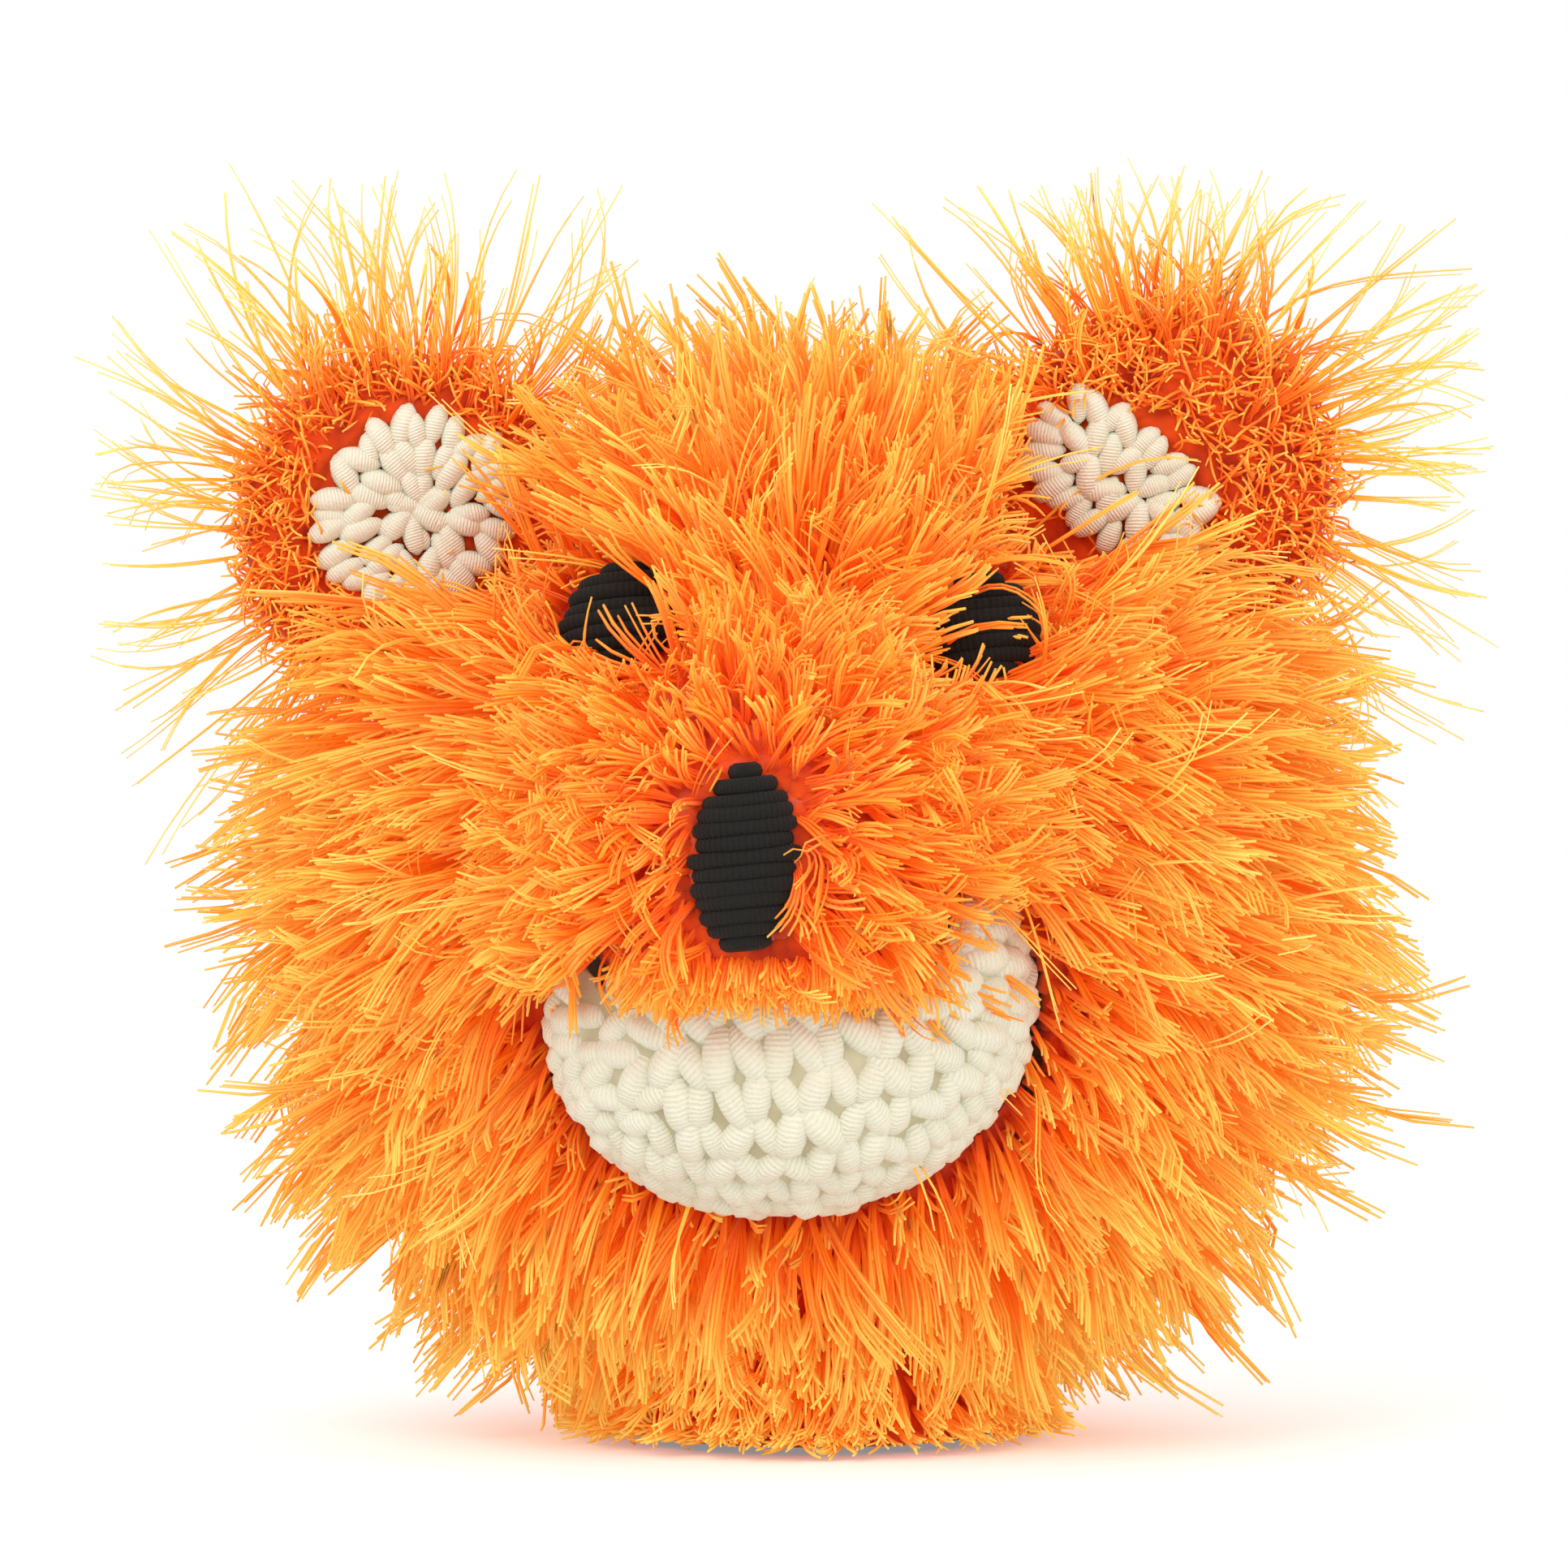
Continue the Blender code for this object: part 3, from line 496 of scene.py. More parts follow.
class Finishes:
    """Every material of the puppet, built once."""

    def __init__(self) -> None:
        """Builds the materials."""
        fibres = fibre_group()
        # Every lash finish runs from painted shade at the root to painted light at the tip, and glows a
        # little as painted light.
        self.lash = LashFinish("eyelash_yarn").material()
        self.wisp = LashFinish(
            "ear_lashes",
            warm=((0.60, 0.04, 0.001), (0.95, 0.13, 0.002), (1.0, 0.36, 0.02)),
            pale=((0.80, 0.07, 0.001), (1.0, 0.22, 0.005), (1.0, 0.60, 0.08)),
            glow=0.14,
        ).material()
        self.pale_wisp = LashFinish(
            "pale_wisps",
            warm=((1.0, 0.20, 0.006), (1.0, 0.42, 0.03), (1.0, 0.62, 0.09)),
            pale=((1.0, 0.30, 0.01), (1.0, 0.55, 0.06), (1.0, 0.76, 0.20)),
        ).material()
        plain = (
            Finish("orange_knit", (0.42, 0.022, 0.001), (0.85, 0.085, 0.002), scale=1500.0, bump=0.5),
            Finish("cream_knit", (0.46, 0.41, 0.25), (0.62, 0.57, 0.38)),
            Finish("lining_cotton", (0.60, 0.28, 0.10), (0.80, 0.45, 0.18), scale=900.0),
            Finish("fibre_fill", (0.72, 0.72, 0.70), (0.90, 0.90, 0.88), scale=700.0, bump=1.0),
            Finish("craft_felt", (0.50, 0.05, 0.004), (0.72, 0.10, 0.008), scale=2400.0),
            Finish("stiff_board", (0.52, 0.48, 0.40), (0.66, 0.62, 0.54), 0.7, bump=0.2, sheen=0.0),
        )
        made = [finish.material(fibres) for finish in plain]
        self.knit, self.cream_base, self.cloth, self.fill, self.felt, self.board = made
        cream = PlyFinish("cream_yarn_plies", (0.60, 0.57, 0.38), (0.86, 0.845, 0.68))
        soot, coal = (0.002, 0.002, 0.002), (0.012, 0.011, 0.009)
        black = PlyFinish("black_yarn_plies", soot, coal, plies=14.0, sheen=0.04)
        self.cream = cream.material(fibres)
        self.black = black.material(fibres)


# ---------------------------------------------------------------- lashes


@dataclass
class Tufts:
    """A field of lash bundles, one row for each bundle, in the head's frame in millimetres."""

    roots: Array
    normals: Array
    first: Array  # direction at the root
    last: Array  # direction at the tip
    lengths: Array
    width: float = 1.5  # across the bundle at its widest
    strands: int = 4
    thickness: float = 0.34  # of one filament
    wobble: float = 0.25
    steps: int = 6
    lock: int = 1  # how many bundles gather in one lock
    gather: float = 0.7  # how close their tips come

    def kept(self, mask: Array) -> "Tufts":
        """Keeps the bundles that a mask picks."""
        names = ("roots", "normals", "first", "last", "lengths")
        return replace(self, **{name: getattr(self, name)[mask] for name in names})

    def within(self, low: Array, high: Array) -> "Tufts":
        """Shortens the bundles that would reach out of a box.

        Args:
            low: The box's lowest corner.
            high: Its highest corner.

        Returns:
            The same bundles, none of them leaving the box by more than its own bend.
        """
        line = self.centre_lines(None)
        reach = line[:, -1] - self.roots
        room = np.where(reach > 0, high - self.roots, low - self.roots)
        share = np.where(np.abs(reach) > 0.5, room / np.where(np.abs(reach) > 0.5, reach, 1.0), 1.0)
        shorter = self.kept(np.ones(len(self.roots), dtype=bool))
        shorter.lengths = self.lengths * np.clip(share.min(axis=1), 0.15, 1.0)
        return shorter

    def clear_of(self, patches: Iterable[Patch], leave: float = 0.05, behind: float = 8.0) -> "Tufts":
        """Leaves out the bundles in front that would hang over bare patches.

        Args:
            patches: Each patch's middle and half-sizes, sideways and upwards.
            leave: The share of bundles that may still cross a patch.
            behind: The depth past which bundles hide nothing.

        Returns:
            The bundles that stay.
        """
        rng = np.random.default_rng(5)
        line = self.centre_lines(None)
        covered = np.zeros(len(self.roots), dtype=bool)
        for x, z, wide, tall in patches:
            within = ((line[..., 0] - x) / wide) ** 2 + ((line[..., 2] - z) / tall) ** 2 < 1.0
            covered |= (within & (line[..., 1] < behind)).any(axis=1)
        return self.kept(~covered | (rng.uniform(0, 1, len(covered)) < leave))

    def gathered(self, line: Array) -> Array:
        """Draws the bundles of each lock together towards its tip.

        Args:
            line: Points by bundle and place.

        Returns:
            The same points, gathered.
        """
        heads = np.arange(0, len(line), self.lock)
        middle = line[heads]
        nearest = np.empty(len(line), dtype=int)
        for start in range(0, len(line), 500):
            some = line[start : start + 500, 1]
            apart = ((some[:, None] - middle[None, :, 1]) ** 2).sum(axis=2)
            nearest[start : start + 500] = apart.argmin(axis=1)
        share = self.gather * np.linspace(0, 1, line.shape[1]) ** 1.3
        return line + (middle[nearest] - line) * share[None, :, None]

    def centre_lines(self, rng: np.random.Generator | None) -> Array:
        """Traces each bundle from its root.

        Args:
            rng: The source of each bundle's own bend; None leaves them unbent.

        Returns:
            Points by bundle and place.
        """
        count = len(self.roots)
        t = (np.arange(self.steps) + 0.5) / self.steps
        blend = (t**0.8)[None, :, None]
        bend = np.zeros((count, 1, 3))
        if rng is not None:
            bend = rng.normal(0.0, self.wobble, (count, 1, 3))
            bend = bend + rng.normal(0.0, self.wobble, (count, 1, 3)) * (t * 2 - 1)[None, :, None]
        way = unit(self.first[:, None] * (1 - blend) + self.last[:, None] * blend + bend * blend)
        hops = way * (self.lengths[:, None, None] / self.steps)
        line = np.concatenate([np.zeros((count, 1, 3)), np.cumsum(hops, axis=1)], axis=1)
        line = self.roots[:, None] + line
        if self.lock > 1:
            line = self.gathered(line)
        low = line[..., 2]
        line[..., 2] = np.where(low < 6.0, 1.7 + 4.3 * np.exp((np.minimum(low, 6.0) - 6.0) / 4.3), low)
        return line

    def mesh(self, name: str, seed: int) -> bpy.types.Mesh:
        """Builds every filament as a closed three-sided strip.

        Args:
            name: The mesh's name.
            seed: Fixes the field's irregularities.

        Returns:
            The mesh, with U a strand's tint and V its length from root to tip.
        """
        rng = np.random.default_rng(seed)
        line = self.centre_lines(rng)
        count, places = line.shape[:2]
        along = unit(np.gradient(line, axis=1))
        face = unit(self.normals + rng.normal(0.0, 0.5, self.normals.shape))[:, None]
        side = unit(np.cross(along, face))
        up = np.cross(side, along)
        t = np.linspace(0, 1, places)
        flare = 0.35 + 0.65 * np.sin(np.minimum(t * 1.25, 1.0) * math.pi / 2)
        flare = flare + 0.35 * np.maximum(t - 0.7, 0) / 0.3
        lane = (np.arange(self.strands) - (self.strands - 1) / 2) / max(self.strands - 1, 1)
        lane = lane[None] + rng.normal(0, 0.10, (count, self.strands))
        drift = rng.normal(0, 0.45, (count, self.strands))[:, :, None] * (t**2)[None, None]
        across = lane[:, :, None] * self.width * flare[None, None] + drift
        lift = rng.normal(0, 0.30, (count, self.strands))[:, :, None] * t[None, None]
        reach = 1.0 - rng.uniform(0.0, 0.16, (count, self.strands))
        stem = line[:, None] - self.roots[:, None, None]
        stem = self.roots[:, None, None] + stem * reach[:, :, None, None]
        core = stem + side[:, None] * across[..., None] + up[:, None] * lift[..., None]
        taper = np.where(t > 0.85, 0.75, 1.0) * np.where(t < 0.1, 0.8, 1.0)
        girth = rng.uniform(0.8, 1.25, (count, self.strands))
        size = self.thickness * taper[None, None, :, None, None] * girth[:, :, None, None, None]
        section = np.array([[-0.62, -0.3], [0.62, -0.3], [0.0, 0.6]])
        ring = side[:, None, :, None] * section[:, 0, None] + up[:, None, :, None] * section[:, 1, None]
        verts = core[:, :, :, None] + ring * size
        verts[..., 2] = np.maximum(verts[..., 2], 0.2)
        total = count * self.strands
        block = places * 3
        quads = grid_quads(places, 3, True)
        quads = (quads[None] + (np.arange(total) * block)[:, None, None]).reshape(-1, 4)
        last = (places - 1) * 3
        ends = np.array([[2, 1, 0], [last, last + 1, last + 2]])
        caps = (ends[None] + (np.arange(total) * block)[:, None, None]).reshape(-1, 3)
        # Strands turn paler and yellower away from the face's middle: painted light of the glowing outer
        # tips; the scatter added to it is the yarn's own random tone.
        away = np.hypot(self.roots[:, :1] - FACE_WHORL[0], self.roots[:, 2:] - FACE_WHORL[2]) / 80.0
        mean = np.where(self.roots[:, 1:2] < 20, 0.08 + 0.85 * np.clip(away, 0, 1), 0.5)
        stray = rng.normal(0, 0.2, (count, 1)) + rng.normal(0, 0.12, (count, self.strands))
        tint = np.clip(mean + stray, 0, 1)
        shape = (count, self.strands, places, 3)
        tints = np.broadcast_to(tint[:, :, None, None], shape)
        uv = np.stack([tints, np.broadcast_to(t[None, None, :, None], shape)], axis=-1)
        return mesh_of(name, world(verts.reshape(-1, 3)), quads, caps, uv.reshape(-1, 2))


def combed(points: Array, normals: Array, whorl: Array, rng: np.random.Generator, stray: float) -> Array:
    """Finds the way that lashes are combed: away from a whorl, with strays.

    Args:
        points: The lashes' roots.
        normals: The fabric's normals there; not used.
        whorl: The point that the lashes lie away from; its Y counts for nothing.
        rng: The source of the strays.
        stray: How far they stray, as a share of their length.

    Returns:
        Unit vectors.
    """
    away = points - whorl
    away[:, 1] = 0.0
    return unit(unit(away) + rng.normal(0.0, stray, points.shape))


@dataclass
class HeadFur:
    """The head's knitted fabric and the lashes that stand on it."""

    finishes: Finishes
    whorl: Array = field(default_factory=lambda: np.array([-2.0, 0.0, 104.0]))
    bundles: int = 8400
    bare: tuple[Patch, ...] = (
        (23.0, 115.5, 6.6, 6.2),
        (-26.0, 117.0, 7.8, 7.0),
        (43.5, 137.0, 13.5, 9.0),
        (-57.0, 135.0, 13.0, 12.0),
        (-3.0, 57.0, 31.0, 20.0),
        (-9.0, 86.0, 7.0, 13.0),
        (25.0, 71.0, 8.0, 11.0),
        (-31.0, 66.0, 7.0, 9.0),
    )
    face_length: float = 21.0
    rim_length: float = 29.0
    back_length: float = 21.0
    snout_centre: Array = field(default_factory=lambda: np.array([-7.0, -44.0, 85.0]))
    snout_radii: Array = field(default_factory=lambda: np.array([24.0, 30.0, 25.0]))
    jaw_centre: Array = field(default_factory=lambda: np.array([-3.0, -38.0, 62.0]))
    jaw_radii: Array = field(default_factory=lambda: np.array([34.0, 26.0, 27.5]))
    hinge: Array = field(default_factory=lambda: np.array([-3.0, -15.0, 67.0]))
    opening: float = 20.0
    lowest: Array = field(default_factory=lambda: np.array([-100.0, -82.0, 1.0]))
    highest: Array = field(default_factory=lambda: np.array([94.0, 63.5, 176.0]))

    def in_jaws_way(self, points: Array, room: float) -> Array:
        """Tells which points the chin sweeps as the mouth opens, or the snout takes up.

        Args:
            points: Points in the head's frame.
            room: How much clear space to leave, in millimetres.

        Returns:
            Whether each point is in the way.
        """
        found = inside(points, self.snout_centre, self.snout_radii - 4.0)
        for angle in np.linspace(0.0, self.opening, 6):
            c, s = math.cos(math.radians(angle)), math.sin(math.radians(angle))
            back = np.array([[1.0, 0.0, 0.0], [0.0, c, -s], [0.0, s, c]])
            shut = (points - self.hinge) @ back + self.hinge
            found |= inside(shut, self.jaw_centre, self.jaw_radii + room)
        return found & (points[:, 1] < 0)

    def fabric(self) -> None:
        """Knits the head's fabric: rows of stitches round the head's upright axis."""
        rows, columns = 150, 300
        v, u = np.meshgrid(np.linspace(0.03, 0.93, rows), np.arange(columns) / columns, indexing="ij")
        polar, turn = v * math.pi, u * math.tau
        flat = np.sin(polar)
        ball = np.stack([flat * np.cos(turn), flat * np.sin(turn), np.cos(polar)], axis=-1)
        relief = stitch_relief(v * 32, u * 60) * 0.9 - 0.9
        points = HEAD_CENTRE + ball * (HEAD_RADII + relief[..., None])
        points = points.reshape(-1, 3)
        quads = grid_quads(rows, columns, True)[:, ::-1]
        quads = quads[~self.in_jaws_way(points, 1.5)[quads].any(axis=1)]
        used, quads = np.unique(quads, return_inverse=True)
        mesh = mesh_of("head_fabric", world(points[used]), quads.reshape(-1, 4))
        piece = add_piece(mesh, Body.HEAD, self.finishes.knit)
        thicken(piece, KNIT / 2)
        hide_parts("head_shell")
        mesh = frame["nodes"]["throat_web"].data.copy()
        mesh.name = "throat_fabric"
        web = add_piece(mesh, None, self.finishes.knit)
        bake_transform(web)
        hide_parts("throat_web")

    def field(self) -> Tufts:
        """Plants the head's lashes.

        Returns:
            The bundles over the whole head, without the neck, snout and jaw.
        """
        rng = np.random.default_rng(11)
        ball = spread_on_ball(self.bundles)
        roots = HEAD_CENTRE + ball * HEAD_RADII + rng.normal(0, 0.6, (self.bundles, 3))
        normals = ellipsoid_normals(roots, HEAD_CENTRE, HEAD_RADII)
        neck = (roots[:, 2] < 60) & (np.hypot(roots[:, 0], roots[:, 1] - NECK_BACK) < 27)
        under = inside(roots, self.snout_centre, self.snout_radii * 0.9)
        under |= inside(roots, self.jaw_centre, self.jaw_radii * np.array([0.95, 1.3, 0.95]))
        front = roots[:, 1] < 0
        keep = ~neck & ~(under & front)
        roots, normals = roots[keep], normals[keep]
        comb = combed(roots, normals, self.whorl, rng, 0.28)
        edge = 1.0 - np.abs(normals[:, 1])
        lengths = np.where(roots[:, 1] < 0, self.face_length, self.back_length)
        lengths = lengths + (self.rim_length - lengths) * np.clip(edge * 1.6 - 0.3, 0, 1)
        top = np.clip((roots[:, 2] - 118) / 20, 0, 1)
        uneven = rng.choice([0.7, 0.95, 1.15, 1.45], len(roots), p=[0.25, 0.35, 0.25, 0.15])
        lengths = lengths * (1 - 0.15 * top) * uneven
        lengths = lengths * rng.uniform(0.9, 1.08, len(roots))
        first = unit(normals * 0.9 + comb * 0.7)
        last = unit(comb + normals * 0.18 + np.array([0.0, 0.0, -0.28]))
        shape = {"width": 1.45, "thickness": 0.38, "wobble": 0.34, "lock": 5, "gather": 0.5, "steps": 5}
        tufts = Tufts(roots, normals, first, last, lengths, **shape)
        tufts = tufts.clear_of(self.bare).within(self.lowest, self.highest)
        return tufts.kept(~self.in_ears_way(tufts, rng))

    def in_ears_way(self, tufts: Tufts, rng: np.random.Generator) -> Array:
        """Tells which lashes stand where an ear swings.

        Args:
            tufts: The head's lashes.
            rng: Picks the few that may stay.

        Returns:
            Whether each bundle is in the way.
        """
        line = tufts.centre_lines(None)
        found = np.zeros(len(line), dtype=bool)
        for lean in EAR_LEANS.values():
            local = (line - ear_seam(lean)) @ turned_about_y(lean)
            x, y, z = np.moveaxis(local, -1, 0)
            wedge = 3.5 + np.maximum(z, 0) * math.tan(math.radians(EAR_SWING))
            found |= ((np.abs(x) < 25) & (z > 3) & (np.abs(y) < wedge)).any(axis=1)
        return found & (rng.uniform(0, 1, len(line)) < 0.93)

    def wisps(self) -> None:
        """Grows sparse long wisps that stand out of the fur's outline."""
        rng = np.random.default_rng(23)
        ball = spread_on_ball(900)
        roots = HEAD_CENTRE + ball * HEAD_RADII
        normals = ellipsoid_normals(roots, HEAD_CENTRE, HEAD_RADII)
        keep = (roots[:, 2] > 45) & (rng.uniform(0, 1, len(roots)) < 0.75)
        roots, normals = roots[keep], normals[keep]
        comb = combed(roots, normals, self.whorl, rng, 0.35)
        last = unit(comb + normals * 0.4 + rng.normal(0, 0.2, comb.shape))
        lengths = rng.uniform(20, 38, len(roots))
        shape = {"width": 0.7, "strands": 2, "thickness": 0.27, "wobble": 0.45, "steps": 7}
        tufts = Tufts(roots, normals, unit(normals + comb * 0.6), last, lengths, **shape)
        tufts = tufts.clear_of(self.bare, leave=0.1)
        tufts = tufts.within(np.array([-84.0, -72.0, 3.0]), np.array([84.0, 54.0, 172.0]))
        add_piece(tufts.mesh("wisps_head", 24), Body.HEAD, self.finishes.pale_wisp)

    def curls(self) -> None:
        """Tangles fine curls over the middle of the face."""
        rng = np.random.default_rng(27)
        ball = spread_on_ball(5000)
        roots = HEAD_CENTRE + ball * HEAD_RADII
        normals = ellipsoid_normals(roots, HEAD_CENTRE, HEAD_RADII)
        away = np.hypot(roots[:, 0] - self.whorl[0], roots[:, 2] - self.whorl[2])
        near = (roots[:, 1] < -14) & (away < 50) & (roots[:, 2] > 72)
        near &= ~inside(roots, self.snout_centre, self.snout_radii * 0.9)
        roots, normals = roots[near], normals[near]
        comb = combed(roots, normals, self.whorl, rng, 0.6)
        last = unit(comb * 0.7 + normals * 0.6 + rng.normal(0, 0.7, comb.shape))
        lengths = rng.uniform(14.0, 24.0, len(roots))
        shape = {"width": 0.7, "strands": 2, "thickness": 0.28, "wobble": 0.9, "steps": 10}
        tufts = Tufts(roots, normals, unit(normals + comb * 0.5), last, lengths, **shape)
        tufts = tufts.clear_of(self.bare, leave=0.08)
        add_piece(tufts.mesh("curls_face", 28), Body.HEAD, self.finishes.wisp)

    def underfur(self) -> None:
        """Fills in short lashes where the long ones leave the fabric bare."""
        rng = np.random.default_rng(17)
        ball = spread_on_ball(5200)
        roots = HEAD_CENTRE + ball * HEAD_RADII
        normals = ellipsoid_normals(roots, HEAD_CENTRE, HEAD_RADII)
        near = np.zeros(len(roots), dtype=bool)
        bare = []
        for x, z, wide, tall in self.bare:
            near |= ((roots[:, 0] - x) / (wide + 13)) ** 2 + ((roots[:, 2] - z) / (tall + 13)) ** 2 < 1.0
            bare.append((x, z, wide + 0.6, tall + 0.6))
        near &= (roots[:, 1] < -4) & ~inside(roots, self.snout_centre, self.snout_radii * 0.9)
        near &= ~inside(roots, self.jaw_centre, self.jaw_radii * np.array([0.95, 1.3, 0.95]))
        roots, normals = roots[near], normals[near]
        comb = combed(roots, normals, self.whorl, rng, 0.5)
        lengths = rng.uniform(6.0, 10.0, len(roots))
        first, last = unit(normals + comb * 0.6), unit(comb + normals * 0.3)
        shape = {"width": 1.5, "strands": 3, "thickness": 0.38, "wobble": 0.4, "steps": 4}
        tufts = Tufts(roots, normals, first, last, lengths, **shape)
        tufts = tufts.clear_of(bare, leave=0.0)
        chin = self.round_chin(tufts.roots)
        add_piece(tufts.kept(~chin).mesh("lashes_short", 18), Body.HEAD, self.finishes.lash)
        self.hung_on_chin(tufts.kept(chin).mesh("lashes_short_chin", 19))

    @staticmethod
    def round_chin(roots: Array) -> Array:
        """Tells which lashes grow round the chin."""
        x, y, z = (roots - HEAD_CENTRE).T
        return (y < -8) & (z < -14) & (np.abs(x) < 38)

    def hung_on_chin(self, mesh: bpy.types.Mesh) -> None:
        """Adds lashes round the chin as a piece on no body, with its place baked into the mesh."""
        piece = add_piece(mesh, None, self.finishes.lash)
        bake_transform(piece)

    def lashes(self) -> None:
        """Builds the head's lashes as pieces, by the part of the head that they grow on."""
        tufts = self.field()
        x, y, z = (tufts.roots - HEAD_CENTRE).T
        chin = self.round_chin(tufts.roots)
        front = (y < -16) & ~chin
        back = y > 18
        rim = ~front & ~back & ~chin
        regions = {
            "lashes_chin": chin,
            "lashes_brow_left": front & (z > 0) & (x > 0),
            "lashes_brow_right": front & (z > 0) & (x <= 0),
            "lashes_cheek_left": front & (z <= 0) & (x > 0),
            "lashes_cheek_right": front & (z <= 0) & (x <= 0),
            "lashes_crown": rim & (z > 22),
            "lashes_mane_left": rim & (z <= 22) & (x > 0),
            "lashes_mane_right": rim & (z <= 22) & (x <= 0),
            "lashes_nape_upper": back & (z > 0),
            "lashes_nape_lower": back & (z <= 0),
        }
        for seed, (name, mask) in enumerate(regions.items(), start=100):
            mesh = tufts.kept(mask).mesh(name, seed)
            if name == "lashes_chin":
                self.hung_on_chin(mesh)
            else:
                add_piece(mesh, Body.HEAD, self.finishes.lash)

    def build(self) -> None:
        """Builds the fabric and the lashes."""
        self.fabric()
        self.lashes()
        self.underfur()
        self.wisps()
        self.curls()


def stitch_relief(rows: Array, columns: Array) -> Array:
    """Gives crocheted fabric its bumps: a slanted knot at each stitch, in rows set off by half.

    Args:
        rows: Place across the rows, in rows.
        columns: Place along a row, in stitches.

    Returns:
        Heights from 0 to 1.
    """
    row = np.floor(rows)
    cross = np.sin((rows - row) * math.pi)
    knot = 0.5 + 0.5 * np.cos((columns + 0.5 * (row % 2) + 0.25 * (rows - row)) * math.tau)
    return np.sqrt(np.clip(cross, 0, 1)) * (0.45 + 0.55 * knot)


def thicken(piece: bpy.types.Object, depth: float) -> None:
    """Gives an open sheet its wall, inwards.

    Args:
        piece: The sheet.
        depth: The wall, in millimetres.
    """
    solidify = piece.modifiers.new("wall", "SOLIDIFY")
    solidify.thickness = depth * MM
    solidify.offset = -1.0
    apply_modifier(piece, solidify)


def apply_modifier(piece: bpy.types.Object, modifier: bpy.types.Modifier) -> None:
    """Applies one modifier to a piece."""
    bpy.ops.object.select_all(action="DESELECT")
    bpy.context.view_layer.objects.active = piece
    piece.select_set(True)
    bpy.ops.object.modifier_apply(modifier=modifier.name)


# ---------------------------------------------------------------- snout


